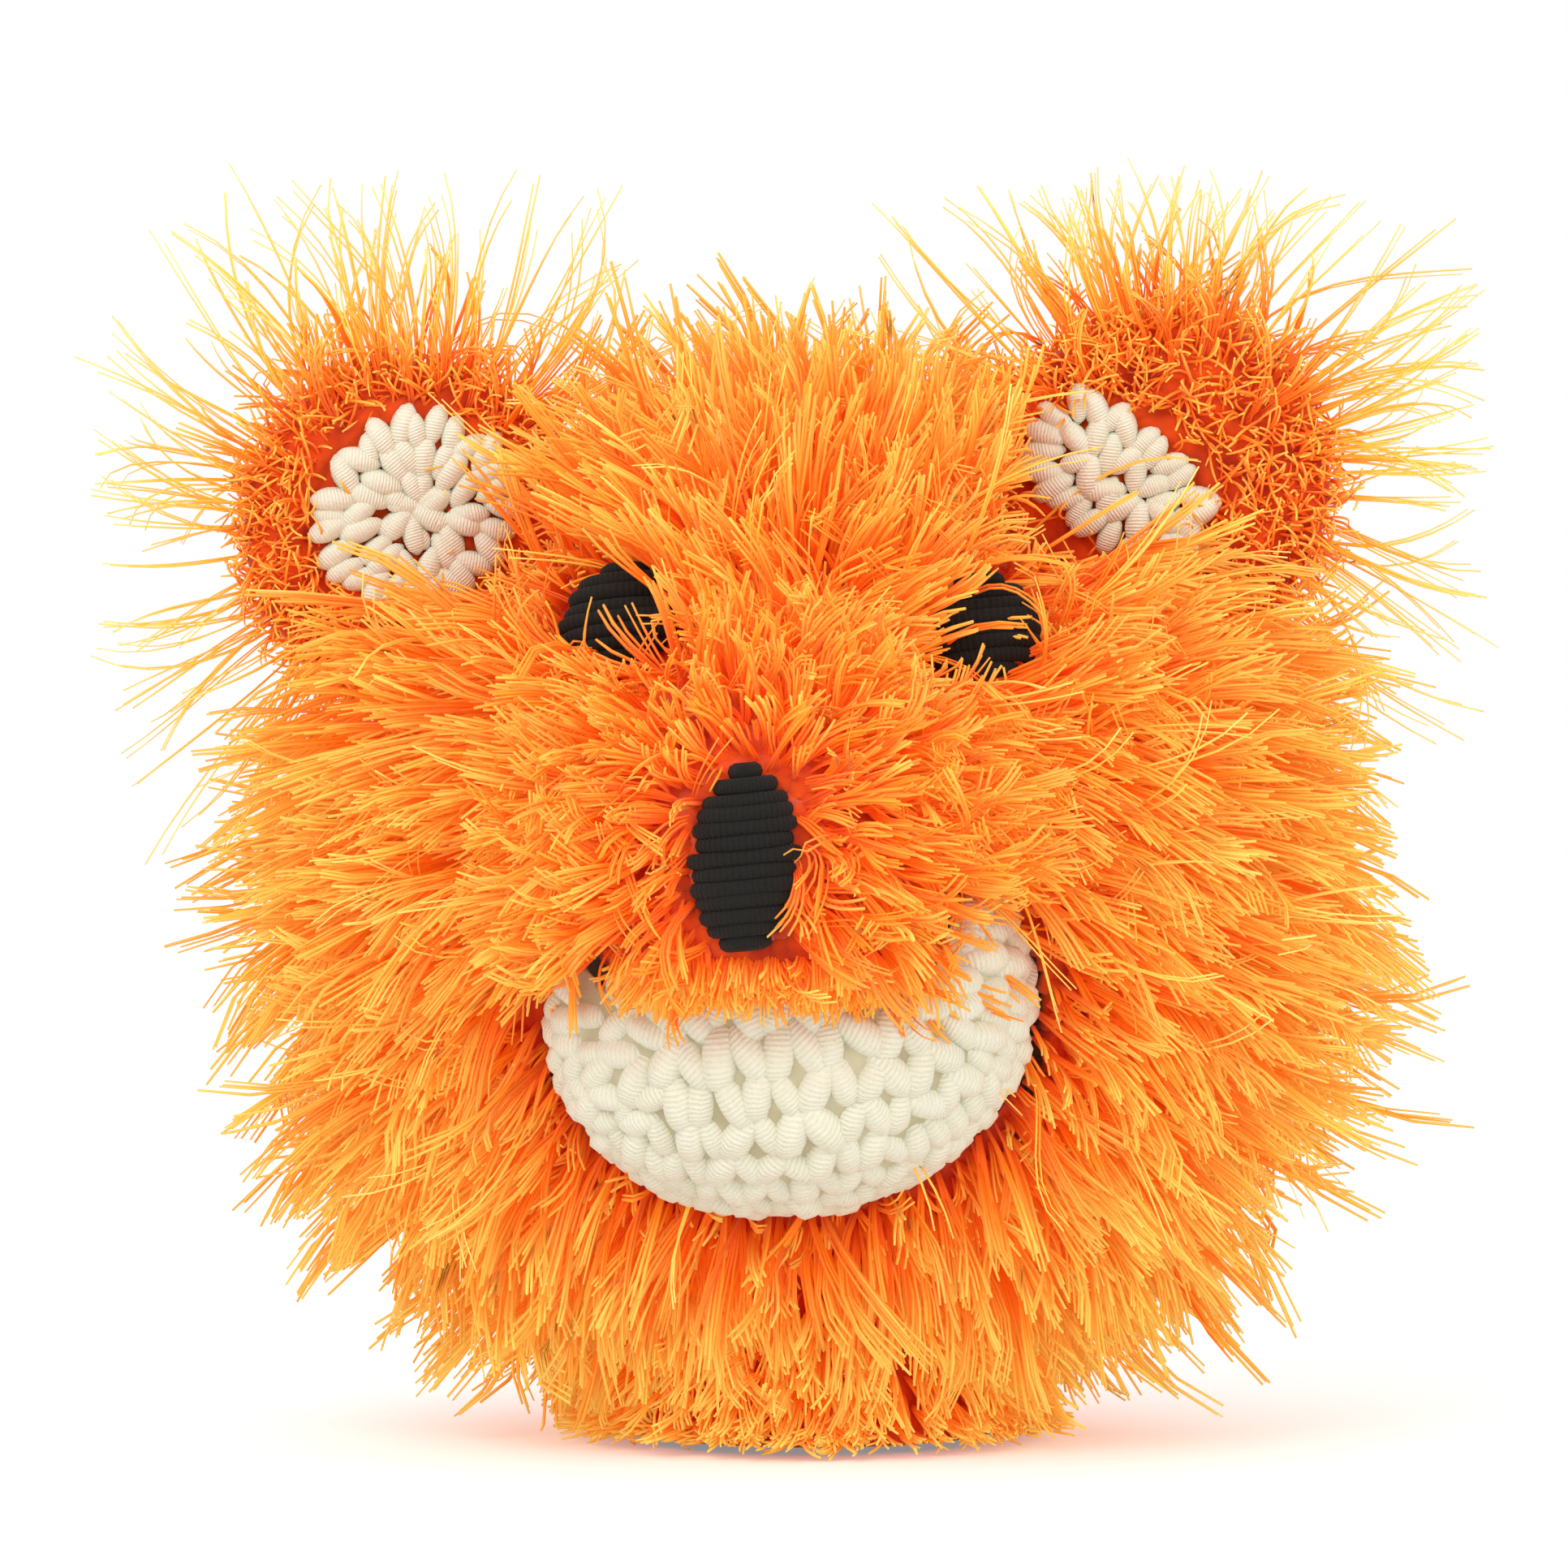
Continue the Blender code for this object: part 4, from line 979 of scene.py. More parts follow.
@dataclass
class Snout:
    """The muzzle: a knitted dome with short lashes round the nose."""

    finishes: Finishes
    centre: Array = field(default_factory=lambda: np.array([-7.0, -44.0, 85.0]))
    radii: Array = field(default_factory=lambda: np.array([24.0, 30.0, 25.0]))
    whorl: Array = field(default_factory=lambda: np.array([-9.0, 0.0, 92.0]))
    floor: float = 70.8
    bundles: int = 3700
    length: float = 13.0

    def fabric(self) -> None:
        """Knits the dome in rounds from its tip."""
        rows, columns = 60, 160
        v, u = np.meshgrid(np.linspace(0.0, 0.62, rows), np.arange(columns) / columns, indexing="ij")
        polar, turn = v * math.pi, u * math.tau
        flat = np.sin(polar)
        ball = np.stack([flat * np.cos(turn), -np.cos(polar), flat * np.sin(turn)], axis=-1)
        relief = stitch_relief(v * 16, u * 28) * 0.9 - 0.9
        points = self.centre + ball * (self.radii + relief[..., None])
        points[..., 2] = np.maximum(points[..., 2], self.floor)
        mesh = mesh_of("snout_fabric", world(points.reshape(-1, 3)), grid_quads(rows, columns, True))
        piece = add_piece(mesh, Body.HEAD, self.finishes.knit)
        thicken(piece, KNIT / 2)
        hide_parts("snout_cover")

    def lashes(self) -> None:
        """Plants the short, tangled lashes."""
        rng = np.random.default_rng(31)
        ball = spread_on_ball(self.bundles)
        roots = self.centre + ball * self.radii
        normals = ellipsoid_normals(roots, self.centre, self.radii)
        nose = (np.abs(roots[:, 0] + 9.2) / 6.0) ** 2 + (np.abs(roots[:, 2] - 85.7) / 12.0) ** 2 < 1
        keep = (roots[:, 2] > self.floor + 0.5) & (roots[:, 1] < -34) & ~(nose & (roots[:, 1] < -60))
        keep &= ~inside(roots, HEAD_CENTRE, HEAD_RADII - 2)
        roots, normals = roots[keep], normals[keep]
        comb = combed(roots, normals, self.whorl, rng, 0.42)
        edge = np.clip(np.hypot(roots[:, 0] - self.whorl[0], roots[:, 2] - self.whorl[2]) / 24.0, 0, 1)
        lengths = self.length * (0.75 + 0.75 * edge) * rng.uniform(0.65, 1.25, len(roots))
        first = unit(normals * 0.8 + comb * 0.8)
        last = unit(comb + normals * 0.12 + rng.normal(0, 0.3, comb.shape) + np.array([0.0, 0.0, -0.15]))
        shape = {"width": 1.3, "strands": 4, "thickness": 0.36, "wobble": 0.5, "lock": 3, "gather": 0.5}
        tufts = Tufts(roots, normals, first, last, lengths, **shape)
        bare = (
            (-9.2, 85.7, 5.4, 11.0),
            (-3.0, 50.0, 31.0, 14.5),
            (26.0, 71.0, 5.5, 9.5),
            (-32.0, 64.0, 5.0, 8.0),
            (23.0, 115.5, 6.8, 6.4),
            (-26.0, 117.0, 7.8, 7.2),
        )
        tufts = tufts.clear_of(bare, leave=0.03)
        add_piece(tufts.mesh("lashes_snout", 32), Body.HEAD, self.finishes.lash)
        some = rng.uniform(0, 1, len(roots)) < 0.22
        roots, normals, comb = roots[some], normals[some], comb[some]
        last = unit(comb * 0.5 + normals * 0.5 + rng.normal(0, 0.8, comb.shape))
        lengths = rng.uniform(9, 17, len(roots))
        shape = {"width": 0.6, "strands": 2, "thickness": 0.27, "wobble": 1.0, "steps": 9}
        curls = Tufts(roots, normals, unit(normals + comb), last, lengths, **shape)
        curls = curls.clear_of(bare, leave=0.08)
        add_piece(curls.mesh("curls_snout", 33), Body.HEAD, self.finishes.wisp)

    def fringe(self) -> None:
        """Hangs a row of short lashes from the upper lip."""
        rng = np.random.default_rng(37)
        x = rng.uniform(-26.0, 12.0, 420)
        z = rng.uniform(self.floor + 0.3, self.floor + 3.5, 420)
        side, up = (x - self.centre[0]) / self.radii[0], (z - self.centre[2]) / self.radii[2]
        rest = 1.0 - side**2 - up**2
        y = self.centre[1] - self.radii[1] * np.sqrt(np.clip(rest, 0.02, 1.0))
        roots = np.stack([x, y, z], axis=1)
        normals = ellipsoid_normals(roots, self.centre, self.radii)
        down = np.array([0.0, -0.1, -1.0])
        last = unit(down + rng.normal(0, 0.28, roots.shape))
        lengths = rng.uniform(5.0, 9.5, len(roots))
        shape = {"width": 1.2, "strands": 3, "thickness": 0.34, "wobble": 0.3, "steps": 4}
        tufts = Tufts(roots, normals, unit(normals + down), last, lengths, **shape)
        add_piece(tufts.mesh("lashes_lip", 38), Body.HEAD, self.finishes.lash)

    def build(self) -> None:
        """Builds the dome and its lashes."""
        self.fabric()
        self.lashes()
        self.fringe()


# ---------------------------------------------------------------- crocheted cream pieces


@dataclass
class StitchRounds:
    """Rounds of fat V stitches worked about a foundation chain, laid on a curved form."""

    half_chain: float
    pitch: float
    stitch: float
    rounds: int
    place: Callable[[Array, Array], tuple[Array, Array]]
    lobe: tuple[float, float, float] = (4.7, 2.35, 2.3)  # half length, half width, half height
    lean: float = 24.0

    def centres(self) -> tuple[Array, Array, Array]:
        """Walks each round.

        Returns:
            Flat places, the ways along the rounds, and the ways out of them.
        """
        spots, along, out = [], [], []
        for number in range(self.rounds):
            r = self.pitch * (number + 0.5)
            straight, bend = 2 * self.half_chain, math.pi * r
            total = 2 * (straight + bend)
            count = max(6, round(total / self.stitch))
            for s in (np.arange(count) + 0.5 * (number % 2)) * total / count:
                part, rest = divmod(s, straight + bend)
                sign = 1.0 if part == 0 else -1.0
                if rest < straight:
                    spot, way = np.array([rest - self.half_chain, -r]), np.array([1.0, 0.0])
                else:
                    angle = (rest - straight) / r - math.pi / 2
                    spot = np.array([self.half_chain + r * math.cos(angle), r * math.sin(angle)])
                    way = np.array([-math.sin(angle), math.cos(angle)])
                spots.append(spot * sign)
                along.append(way * sign)
                out.append(np.array([way[1], -way[0]]) * sign)
        return np.array(spots), np.array(along), np.array(out)

    def mesh(self, name: str, seed: int, skip: Callable[[Array], Array]) -> bpy.types.Mesh:
        """Builds two plump lobes for each stitch.

        Args:
            name: The mesh's name.
            seed: Fixes the handwork's irregularities.
            skip: Tells which points, in the head's frame, get no stitch.

        Returns:
            A mesh of closed lobes.
        """
        rng = np.random.default_rng(seed)
        spots, along, out = self.centres()
        half, wide, tall = self.lobe
        rings, sides = 9, 10
        lobes, tags = [], []
        v = np.linspace(-1, 1, rings)
        swell = np.sqrt(np.clip(1 - np.abs(v) ** 2.4, 0, 1)) * (1.0 + 0.12 * v)
        swell[[0, -1]] = 0.22
        turn = np.arange(sides) * math.tau / sides
        for spot, a, o in zip(spots, along, out):
            for side in (-1, 1):
                angle = math.radians(self.lean * side + rng.normal(0, 13))
                way = o * math.cos(angle) + a * math.sin(angle)
                centre = spot + a * side * self.stitch * 0.26 + rng.normal(0, 0.4, 2)
                size = rng.uniform(0.92, 1.1)
                spine = centre + way * (v * half * size)[:, None]
                points, normals = self.place(spine[:, 0], spine[:, 1])
                if skip(points[rings // 2][None])[0]:
                    continue
                crown = tall * (0.35 + 0.65 * (1 - v**2)) * rng.uniform(0.6, 1.4)
                points = points + normals * crown[:, None] * 0.55
                tangent = unit(np.gradient(points, axis=0))
                across = unit(np.cross(tangent, normals))
                top = np.cross(across, tangent)
                groove = 1.0 + 0.07 * np.cos(turn[None] * 4 + v[:, None] * 3.5)
                ring = across[:, None] * (np.cos(turn) * wide * size)[None, :, None]
                ring = ring + top[:, None] * (np.sin(turn) * tall * size)[None, :, None]
                lobes.append(points[:, None] + ring * (swell[:, None] * groove)[..., None])
                tags.append(rng.uniform())
        verts = np.array(lobes)
        count = len(verts)
        block = rings * sides
        offsets = (np.arange(count) * block)[:, None, None]
        quads = (grid_quads(rings, sides, True)[None] + offsets).reshape(-1, 4)
        fan = np.stack([np.zeros(sides - 2, int), np.arange(2, sides), np.arange(1, sides - 1)], axis=1)
        ends = np.concatenate([fan, (fan + (rings - 1) * sides)[:, ::-1]])
        caps = (ends[None] + (np.arange(count) * block)[:, None, None]).reshape(-1, 3)
        u = np.array(tags)[:, None, None] + (turn / math.tau)[None, None]
        u = np.broadcast_to(u, (count, rings, sides))
        along_v = np.broadcast_to((v * 0.5 + 0.5)[None, :, None], (count, rings, sides))
        uv = np.stack([u, along_v], axis=-1).reshape(-1, 2)
        return mesh_of(name, world(verts.reshape(-1, 3)), quads, caps, uv)


@dataclass
class Jaw:
    """The cream chin: its fabric cup and its crocheted rounds."""

    finishes: Finishes
    centre: Array = field(default_factory=lambda: np.array([-3.0, -38.0, 63.2]))
    radii: Array = field(default_factory=lambda: np.array([32.4, 26.0, 26.2]))
    roll: float = -8.0
    back: float = -34.0
    wall: float = 3.5
    stitch_depth: float = 1.6
    across: float = 30.0  # flat length of a radian of the form, sideways and upwards
    upward: float = 26.8
    snout_centre: Array = field(default_factory=lambda: np.array([-7.0, -44.0, 85.0]))
    snout_radii: Array = field(default_factory=lambda: np.array([28.6, 34.6, 29.6]))
    mouth: float = 66.6
    corner_rise: float = 5.5  # how far the mouth's corners turn up

    def on_form(self, a: Array, b: Array, sink: float = 0.0) -> tuple[Array, Array]:
        """Lays flat places on the chin's form.

        Args:
            a: Flat places sideways from the chin's middle, in millimetres.
            b: Flat places upwards from it.
            sink: How far under the form's skin the points lie.

        Returns:
            Points in the head's frame and the form's outward normals.
        """
        p, q = a / self.across, b / self.upward
        polar = np.hypot(p, q)
        share = np.where(polar > 1e-6, np.sin(polar) / np.maximum(polar, 1e-6), 1.0)
        ball = np.stack([p * share, -np.cos(polar), q * share], axis=-1)
        radii = self.radii - sink
        turn = turned_about_y(self.roll)
        corner = np.clip((np.abs(ball[..., 0]) - 0.5) / 0.4, 0, 1) * np.clip(ball[..., 2] / 0.4, 0, 1)
        form = ball * radii
        form[..., 2] = form[..., 2] + self.corner_rise * corner
        return self.centre + form @ turn.T, unit(ball / radii) @ turn.T

    def hidden(self, points: Array) -> Array:
        """Tells which points the snout or the mouth's fold takes up."""
        within = inside(points, self.snout_centre, self.snout_radii + 0.6) & (points[:, 2] > self.mouth)
        return within | (points[:, 1] > self.back - 1.0)

    def cup(self) -> None:
        """Builds the fabric under the stitches, out of a sphere that is cut open."""
        rows, columns = 46, 120
        polar = np.linspace(0.0, 1.72, rows)
        turn = np.arange(columns) * math.tau / columns
        a = polar[:, None] * np.cos(turn)[None] * self.across
        b = polar[:, None] * np.sin(turn)[None] * self.upward
        points, _ = self.on_form(a.ravel(), b.ravel(), self.stitch_depth)
        points[:, 1] = np.minimum(points[:, 1], self.back - 0.3)
        mesh = mesh_of("chin_cup", world(points), grid_quads(rows, columns, True))
        piece = add_piece(mesh, Body.JAW, self.finishes.cream_base)
        thicken(piece, self.wall - self.stitch_depth)
        room = room_for_snout(self.snout_centre, self.snout_radii, self.mouth)
        boolean = piece.modifiers.new("snout", "BOOLEAN")
        boolean.object = room
        apply_modifier(piece, boolean)
        bpy.data.objects.remove(room)
        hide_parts("jaw_cover")

    def stitches(self) -> None:
        """Crochets the chin's rounds."""
        work = StitchRounds(15.0, 6.3, 7.4, 7, lambda a, b: self.on_form(a, b, self.stitch_depth))
        mesh = work.mesh("chin_stitches", 41, self.hidden)
        add_piece(mesh, Body.JAW, self.finishes.cream)

    def build(self) -> None:
        """Builds the chin."""
        self.cup()
        self.stitches()


def room_for_snout(centre: Array, radii: Array, floor: float) -> bpy.types.Object:
    """Makes the cutter that keeps a piece clear of the snout.

    Args:
        centre: The snout's middle, in the head's frame.
        radii: Its half-sizes.
        floor: The height under which nothing is cut.

    Returns:
        A closed dome with a flat base.
    """
    bpy.ops.object.select_all(action="DESELECT")
    bpy.ops.mesh.primitive_uv_sphere_add(segments=48, ring_count=24, radius=1.0)
    dome = bpy.context.object
    co = np.empty(len(dome.data.vertices) * 3, dtype=np.float32)
    dome.data.vertices.foreach_get("co", co)
    points = co.reshape(-1, 3) * radii + centre
    points[:, 2] = np.maximum(points[:, 2], floor + 0.01 * (co.reshape(-1, 3)[:, 2] + 1))
    dome.data.vertices.foreach_set("co", world(points).astype(np.float32).ravel())
    dome.data.update()
    return dome


# ---------------------------------------------------------------- eyes and nose


@dataclass
class YarnPad:
    """An oval pad of black yarn wraps that lie side by side over a dome."""

    name: str
    node: str
    finishes: Finishes
    pitch: float = 1.9
    radius: float = 1.15
    slant: float = 6.0
    share: float = 0.93  # of the pad's outline that the wraps' middles reach

    def build(self) -> None:
        """Winds the wraps over the pad's solid, in the solid's own plane."""
        rng = np.random.default_rng(len(self.name) * 7)
        node = frame["nodes"][self.node]
        co = np.empty(len(node.data.vertices) * 3, dtype=np.float32)
        node.data.vertices.foreach_get("co", co)
        points = np.unique(np.round(co.reshape(-1, 3) / MM - ORIGIN, 3), axis=0)
        middle = points.mean(axis=0)
        values, axes = np.linalg.eigh(np.cov((points - middle).T))
        out, wide, tall = self.axes_of(points, middle, axes)
        half = [np.abs((points - middle) @ axis).max() * self.share for axis in (wide, tall)]
        base = ((points - middle) @ out).min()
        dome = ((points - middle) @ out).max() - base
        rows = np.arange(-half[1] + self.pitch * 0.6, half[1], self.pitch)
        steps = 17
        paths, radii = [], []
        for row in rows:
            share = math.sqrt(max(1 - (row / half[1]) ** 2, 0.03))
            reach = half[0] * share + rng.normal(0, 0.25)
            turn = np.linspace(0.02, 0.98, steps) * math.pi
            x = -np.cos(turn) * reach
            y = np.sin(turn) ** 0.7 * (dome - self.radius * 0.6) * (0.45 + 0.55 * share)
            z = row + x * math.tan(math.radians(self.slant)) + rng.normal(0, 0.12)
            path = x[:, None] * wide + z[:, None] * tall + (y[:, None] + base + 0.2) * out
            paths.append(middle + path)
            radii.append(np.full(steps, self.radius * rng.uniform(0.92, 1.1)))
        tags = rng.uniform(0, 1, len(paths))
        mesh = tubes(self.name + "_wraps", np.array(paths), np.array(radii), 9, tags)
        piece = add_piece(mesh, Body.HEAD, self.finishes.black)
        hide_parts(self.node)

    @staticmethod
    def axes_of(points: Array, middle: Array, axes: Array) -> tuple[Array, Array, Array]:
        """Sorts a pad's main axes.

        Args:
            points: The pad's points; not used.
            middle: Their middle; not used.
            axes: The main axes, in columns, thinnest first.

        Returns:
            The ways out of the pad, across it and up it.
        """
        out = axes[:, 0] * (-1.0 if axes[1, 0] > 0 else 1.0)
        tall = unit(np.array([0.0, 0.0, 1.0]) - out * out[2])
        return out, np.cross(tall, out), tall


# ---------------------------------------------------------------- ears


@dataclass
class Ear:
    """One ear: its knitted disc, cream patch and lashes."""

    side: str
    lean: float
    body: Body
    finishes: Finishes
    seed: int
    patch_side: float
    patch_rise: float
    patch_chain: float
    patch_rounds: int
    lowest: Array = field(default_factory=lambda: np.array([-104.0, -70.0, 2.0]))
    highest: Array = field(default_factory=lambda: np.array([97.0, 64.0, 183.0]))
    radius: float = 24.0
    depth: float = 6.0
    rise: float = 19.0

    def __post_init__(self) -> None:
        """Finds the ear's seam on the head."""
        self.turn = turned_about_y(self.lean)
        self.seam = ear_seam(self.lean)

    def placed(self, local: Array) -> Array:
        """Brings points from the ear's frame to the head's."""
        return self.seam + local @ self.turn.T

    def form(self, r: Array, turn: Array, front: bool) -> Array:
        """Lays places on the ear's disc, whose front is dished.

        Args:
            r: Shares of the radius, up to 1.
            turn: Angles round the disc.
            front: Whether the places are on the front.

        Returns:
            Points in the ear's frame.
        """
        x = self.radius * r * np.cos(turn)
        z = self.rise + self.radius * r * np.sin(turn)
        bulge = np.sqrt(np.clip(1 - r**2, 0, 1)) * self.depth
        dish = 4.2 * np.exp(-((r / 0.55) ** 2))
        pinch = np.clip(z / 14.0, 0.22, 1.0)
        y = (-(bulge - dish) if front else bulge) * pinch
        return np.stack([x, y, np.maximum(z, 0.6)], axis=-1)

    def fabric(self) -> None:
        """Knits the disc in rounds, front and back."""
        columns = 120
        spans = [(True, np.linspace(0.0, 1.0, 36)), (False, np.linspace(1.0, 0.0, 36)[1:])]
        rows = []
        for front, span in spans:
            for r in span:
                turn = np.arange(columns) * math.tau / columns
                ring = self.form(np.full(columns, r), turn, front)
                stitches = np.arange(columns) / columns * max(6, round(26 * r))
                bump = stitch_relief(np.full(columns, r * 5.0), stitches)
                way = -1.0 if front else 1.0
                ring[:, 1] += way * bump * 1.1 * (1 - r**6)
                edge = r**6 * bump * 0.8
                ring[:, 0] += np.cos(turn) * edge
                rows.append(ring)
        points = self.placed(np.array(rows).reshape(-1, 3))
        mesh = mesh_of(f"ear_fabric_{self.side}", world(points), grid_quads(len(rows), columns, True))
        piece = add_piece(mesh, self.body, self.finishes.knit)
        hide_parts(f"ear_shell_{self.side}")

    def patch(self) -> None:
        """Crochets the cream patch in the dish."""

        def lay(a: Array, b: Array) -> tuple[Array, Array]:
            x, z = a + self.patch_side, b * 0.95 + self.rise + self.patch_rise
            r = np.hypot(x, z - self.rise) / self.radius
            turn = np.arctan2(z - self.rise, x)
            points = self.form(r, turn, True)
            points[..., 1] = points[..., 1] - 1.0
            normals = np.zeros_like(points)
            normals[..., 1] = -1.0
            return self.placed(points), normals @ self.turn.T

        work = StitchRounds(self.patch_chain, 4.7, 5.4, self.patch_rounds, lay, lobe=(3.2, 1.6, 1.4))
        mesh = work.mesh(f"ear_patch_{self.side}", self.seed + 5, lambda p: np.zeros(len(p), bool))
        piece = add_piece(mesh, self.body, self.finishes.cream)
        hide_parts(f"ear_lining_{self.side}")

    def lashes(self) -> None:
        """Plants the ear's loops, its thick inner lashes and its long thin wisps."""
        rng = np.random.default_rng(self.seed)
        inner = 1.0 if self.lean < 0 else -1.0

        def plant(count: int, low: float, both: bool) -> tuple[Array, Array, Array]:
            turn = rng.uniform(0, math.tau, count)
            r = np.sqrt(rng.uniform(low**2, 1.0, count))
            front = rng.uniform(0, 1, count) < (0.5 if both else 1.0)
            local = np.where(front[:, None], self.form(r, turn, True), self.form(r, turn, False))
            radial = np.stack([np.cos(turn), np.zeros(count), np.sin(turn)], axis=-1)
            face = np.stack([np.zeros(count), np.where(front, -1.0, 1.0), np.zeros(count)], axis=-1)
            normal = unit(face * np.sqrt(1 - r**2)[:, None] + radial * r[:, None])
            keep = local[:, 2] > 3.0
            return local[keep], radial[keep], normal[keep]

        def grow(
            name: str, planted: tuple[Array, Array, Array], first: Array, last: Array, **shape: object
        ) -> None:
            local, _, normal = planted
            low, high = shape.pop("reach")
            lengths = rng.uniform(low, high, len(local))
            turned = [unit(way) @ self.turn.T for way in (normal, first, last)]
            tufts = Tufts(self.placed(local), *turned, lengths, **shape).within(self.lowest, self.highest)
            middle = self.placed(np.array([self.patch_side, 0.0, self.rise + self.patch_rise]))
            wide, tall = self.patch_chain * 0.8 + 4.7 * self.patch_rounds, 4.4 * self.patch_rounds + 1.5
            tufts = tufts.clear_of(((middle[0], middle[2], wide, tall),), leave=0.04, behind=0.0)
            material = self.finishes.pale_wisp if name == "ear_wisps" else self.finishes.wisp
            mesh = tufts.mesh(f"{name}_{self.side}", self.seed + len(name))
            add_piece(mesh, self.body, material)

        planted = plant(3800, 0.12, True)
        _, radial, normal = planted
        jitter = rng.normal(0, 0.8, radial.shape)
        first, last = normal + jitter * 0.6, radial * 0.3 + jitter
        shape = {"width": 0.6, "strands": 1, "thickness": 0.34, "wobble": 1.1, "steps": 8}
        grow("ear_loops", planted, first, last, reach=(4.0, 9.5), **shape)
        local, radial, normal = plant(230, 0.55, True)
        near = (local[:, 0] * inner > -6) & (local[:, 2] > 6)
        planted = local[near], radial[near], normal[near]
        _, radial, normal = planted
        last = radial + rng.normal(0, 0.5, radial.shape)
        shape = {"width": 1.2, "strands": 3, "thickness": 0.3, "wobble": 0.35}
        grow("ear_lashes", planted, normal + radial * 0.6, last, reach=(11.0, 20.0), **shape)
        planted = plant(230, 0.8, True)
        _, radial, normal = planted
        last = radial + rng.normal(0, 0.38, radial.shape)
        shape = {"width": 0.5, "strands": 2, "thickness": 0.24, "wobble": 0.22, "steps": 7}
        grow("ear_wisps", planted, radial + normal * 0.4, last, reach=(18.0, 42.0), **shape)

    def build(self) -> None:
        """Builds the ear."""
        self.fabric()
        self.patch()
        self.lashes()


# ---------------------------------------------------------------- inner pieces


@dataclass
class Insides:
    """The pieces that show only through the neck or the open mouth."""

    finishes: Finishes

    def pad(self, node: str, name: str, body: Body, voxel: float, lump: float) -> None:
        """Makes a lumpy pad of fibre fill in the room of its solid.

        Args:
            node: The solid's node.
            name: The pad's name.
            body: The body that it rides on.
            voxel: The remeshing step, in millimetres.
            lump: The height of its lumps, in millimetres.
        """
        mesh = frame["nodes"][node].data.copy()
        mesh.name = name
        piece = add_piece(mesh, body, self.finishes.fill)
        weld = piece.modifiers.new("weld", "WELD")
        weld.merge_threshold = 0.00001
        apply_modifier(piece, weld)
        remesh = piece.modifiers.new("remesh", "REMESH")
        remesh.mode = "VOXEL"
        remesh.voxel_size = voxel * MM
        apply_modifier(piece, remesh)
        smooth = piece.modifiers.new("smooth", "SMOOTH")
        smooth.iterations = 4
        apply_modifier(piece, smooth)
        texture = bpy.data.textures.new(name, "CLOUDS")
        texture.noise_scale = 0.012
        displace = piece.modifiers.new("lumps", "DISPLACE")
        displace.texture = texture
        displace.strength = lump * MM
        displace.mid_level = 1.0
        apply_modifier(piece, displace)
        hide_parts(node)

    def cuff(self) -> None:
        """Knits the cuff in ribs."""
        rows, columns = 40, 240
        low, high = (np.array(c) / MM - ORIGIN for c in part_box("neck_cuff"))
        outer = (high[0] - low[0]) / 2
        v, u = np.meshgrid(np.linspace(0, 1, rows), np.arange(columns) / columns, indexing="ij")
        relief = stitch_relief(v * 5, u * 32)
        r = outer - 1.0 + relief
        z = low[2] + 1.2 + v * (high[2] - low[2] - 1.2)
        points = np.stack([r * np.cos(u * math.tau), NECK_BACK + r * np.sin(u * math.tau), z], axis=-1)
        mesh = mesh_of("cuff_fabric", world(points.reshape(-1, 3)), grid_quads(rows, columns, True))
        piece = add_piece(mesh, Body.HEAD, self.finishes.knit)
        thicken(piece, 4.8)
        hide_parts("neck_cuff")
        rng = np.random.default_rng(71)
        count = 1000
        turn, height = rng.uniform(0, math.tau, count), rng.uniform(2, 27, count)
        out = np.stack([np.cos(turn), np.sin(turn), np.zeros(count)], axis=-1)
        roots = out * (outer - 0.5) + np.array([0.0, NECK_BACK, 0.0])
        roots[:, 2] = height
        down = np.array([0.0, 0.0, -1.0])
        first = unit(out + down * 0.4 + rng.normal(0, 0.3, out.shape))
        last = unit(out * 0.25 + down * 0.9 + rng.normal(0, 0.22, out.shape))
        tufts = Tufts(roots, out, first, last, rng.uniform(9, 17, count))
        add_piece(tufts.mesh("lashes_cuff", 72), Body.HEAD, self.finishes.lash)

    def dress(self) -> None:
        """Gives the solids whose shape is right their finishes."""
        dresses = {
            "hand_lining": self.finishes.cloth,
            "palate_felt": self.finishes.felt,
            "jaw_felt": self.finishes.felt,
            "upper_mouth_plate": self.finishes.board,
            "lower_mouth_plate": self.finishes.board,
            "mouth_hinge_cord": self.finishes.cream_base,
            "snout_seam_yarn": self.finishes.knit,
            "jaw_seam_yarn": self.finishes.cream_base,
            "ear_seam_left": self.finishes.knit,
            "ear_seam_right": self.finishes.knit,
        }
        for node, material in dresses.items():
            for place in frame["nodes"][node].material_slots:
                place.material = material

    def build(self) -> None:
        """Builds the inner pieces."""
        self.pad("head_stuffing", "head_fill", Body.HEAD, 2.5, 1.2)
        self.pad("snout_stuffing", "snout_fill", Body.HEAD, 1.6, 0.8)
        self.pad("jaw_stuffing", "chin_fill", Body.JAW, 1.4, 0.6)
        self.cuff()
        self.dress()


# ---------------------------------------------------------------- stage


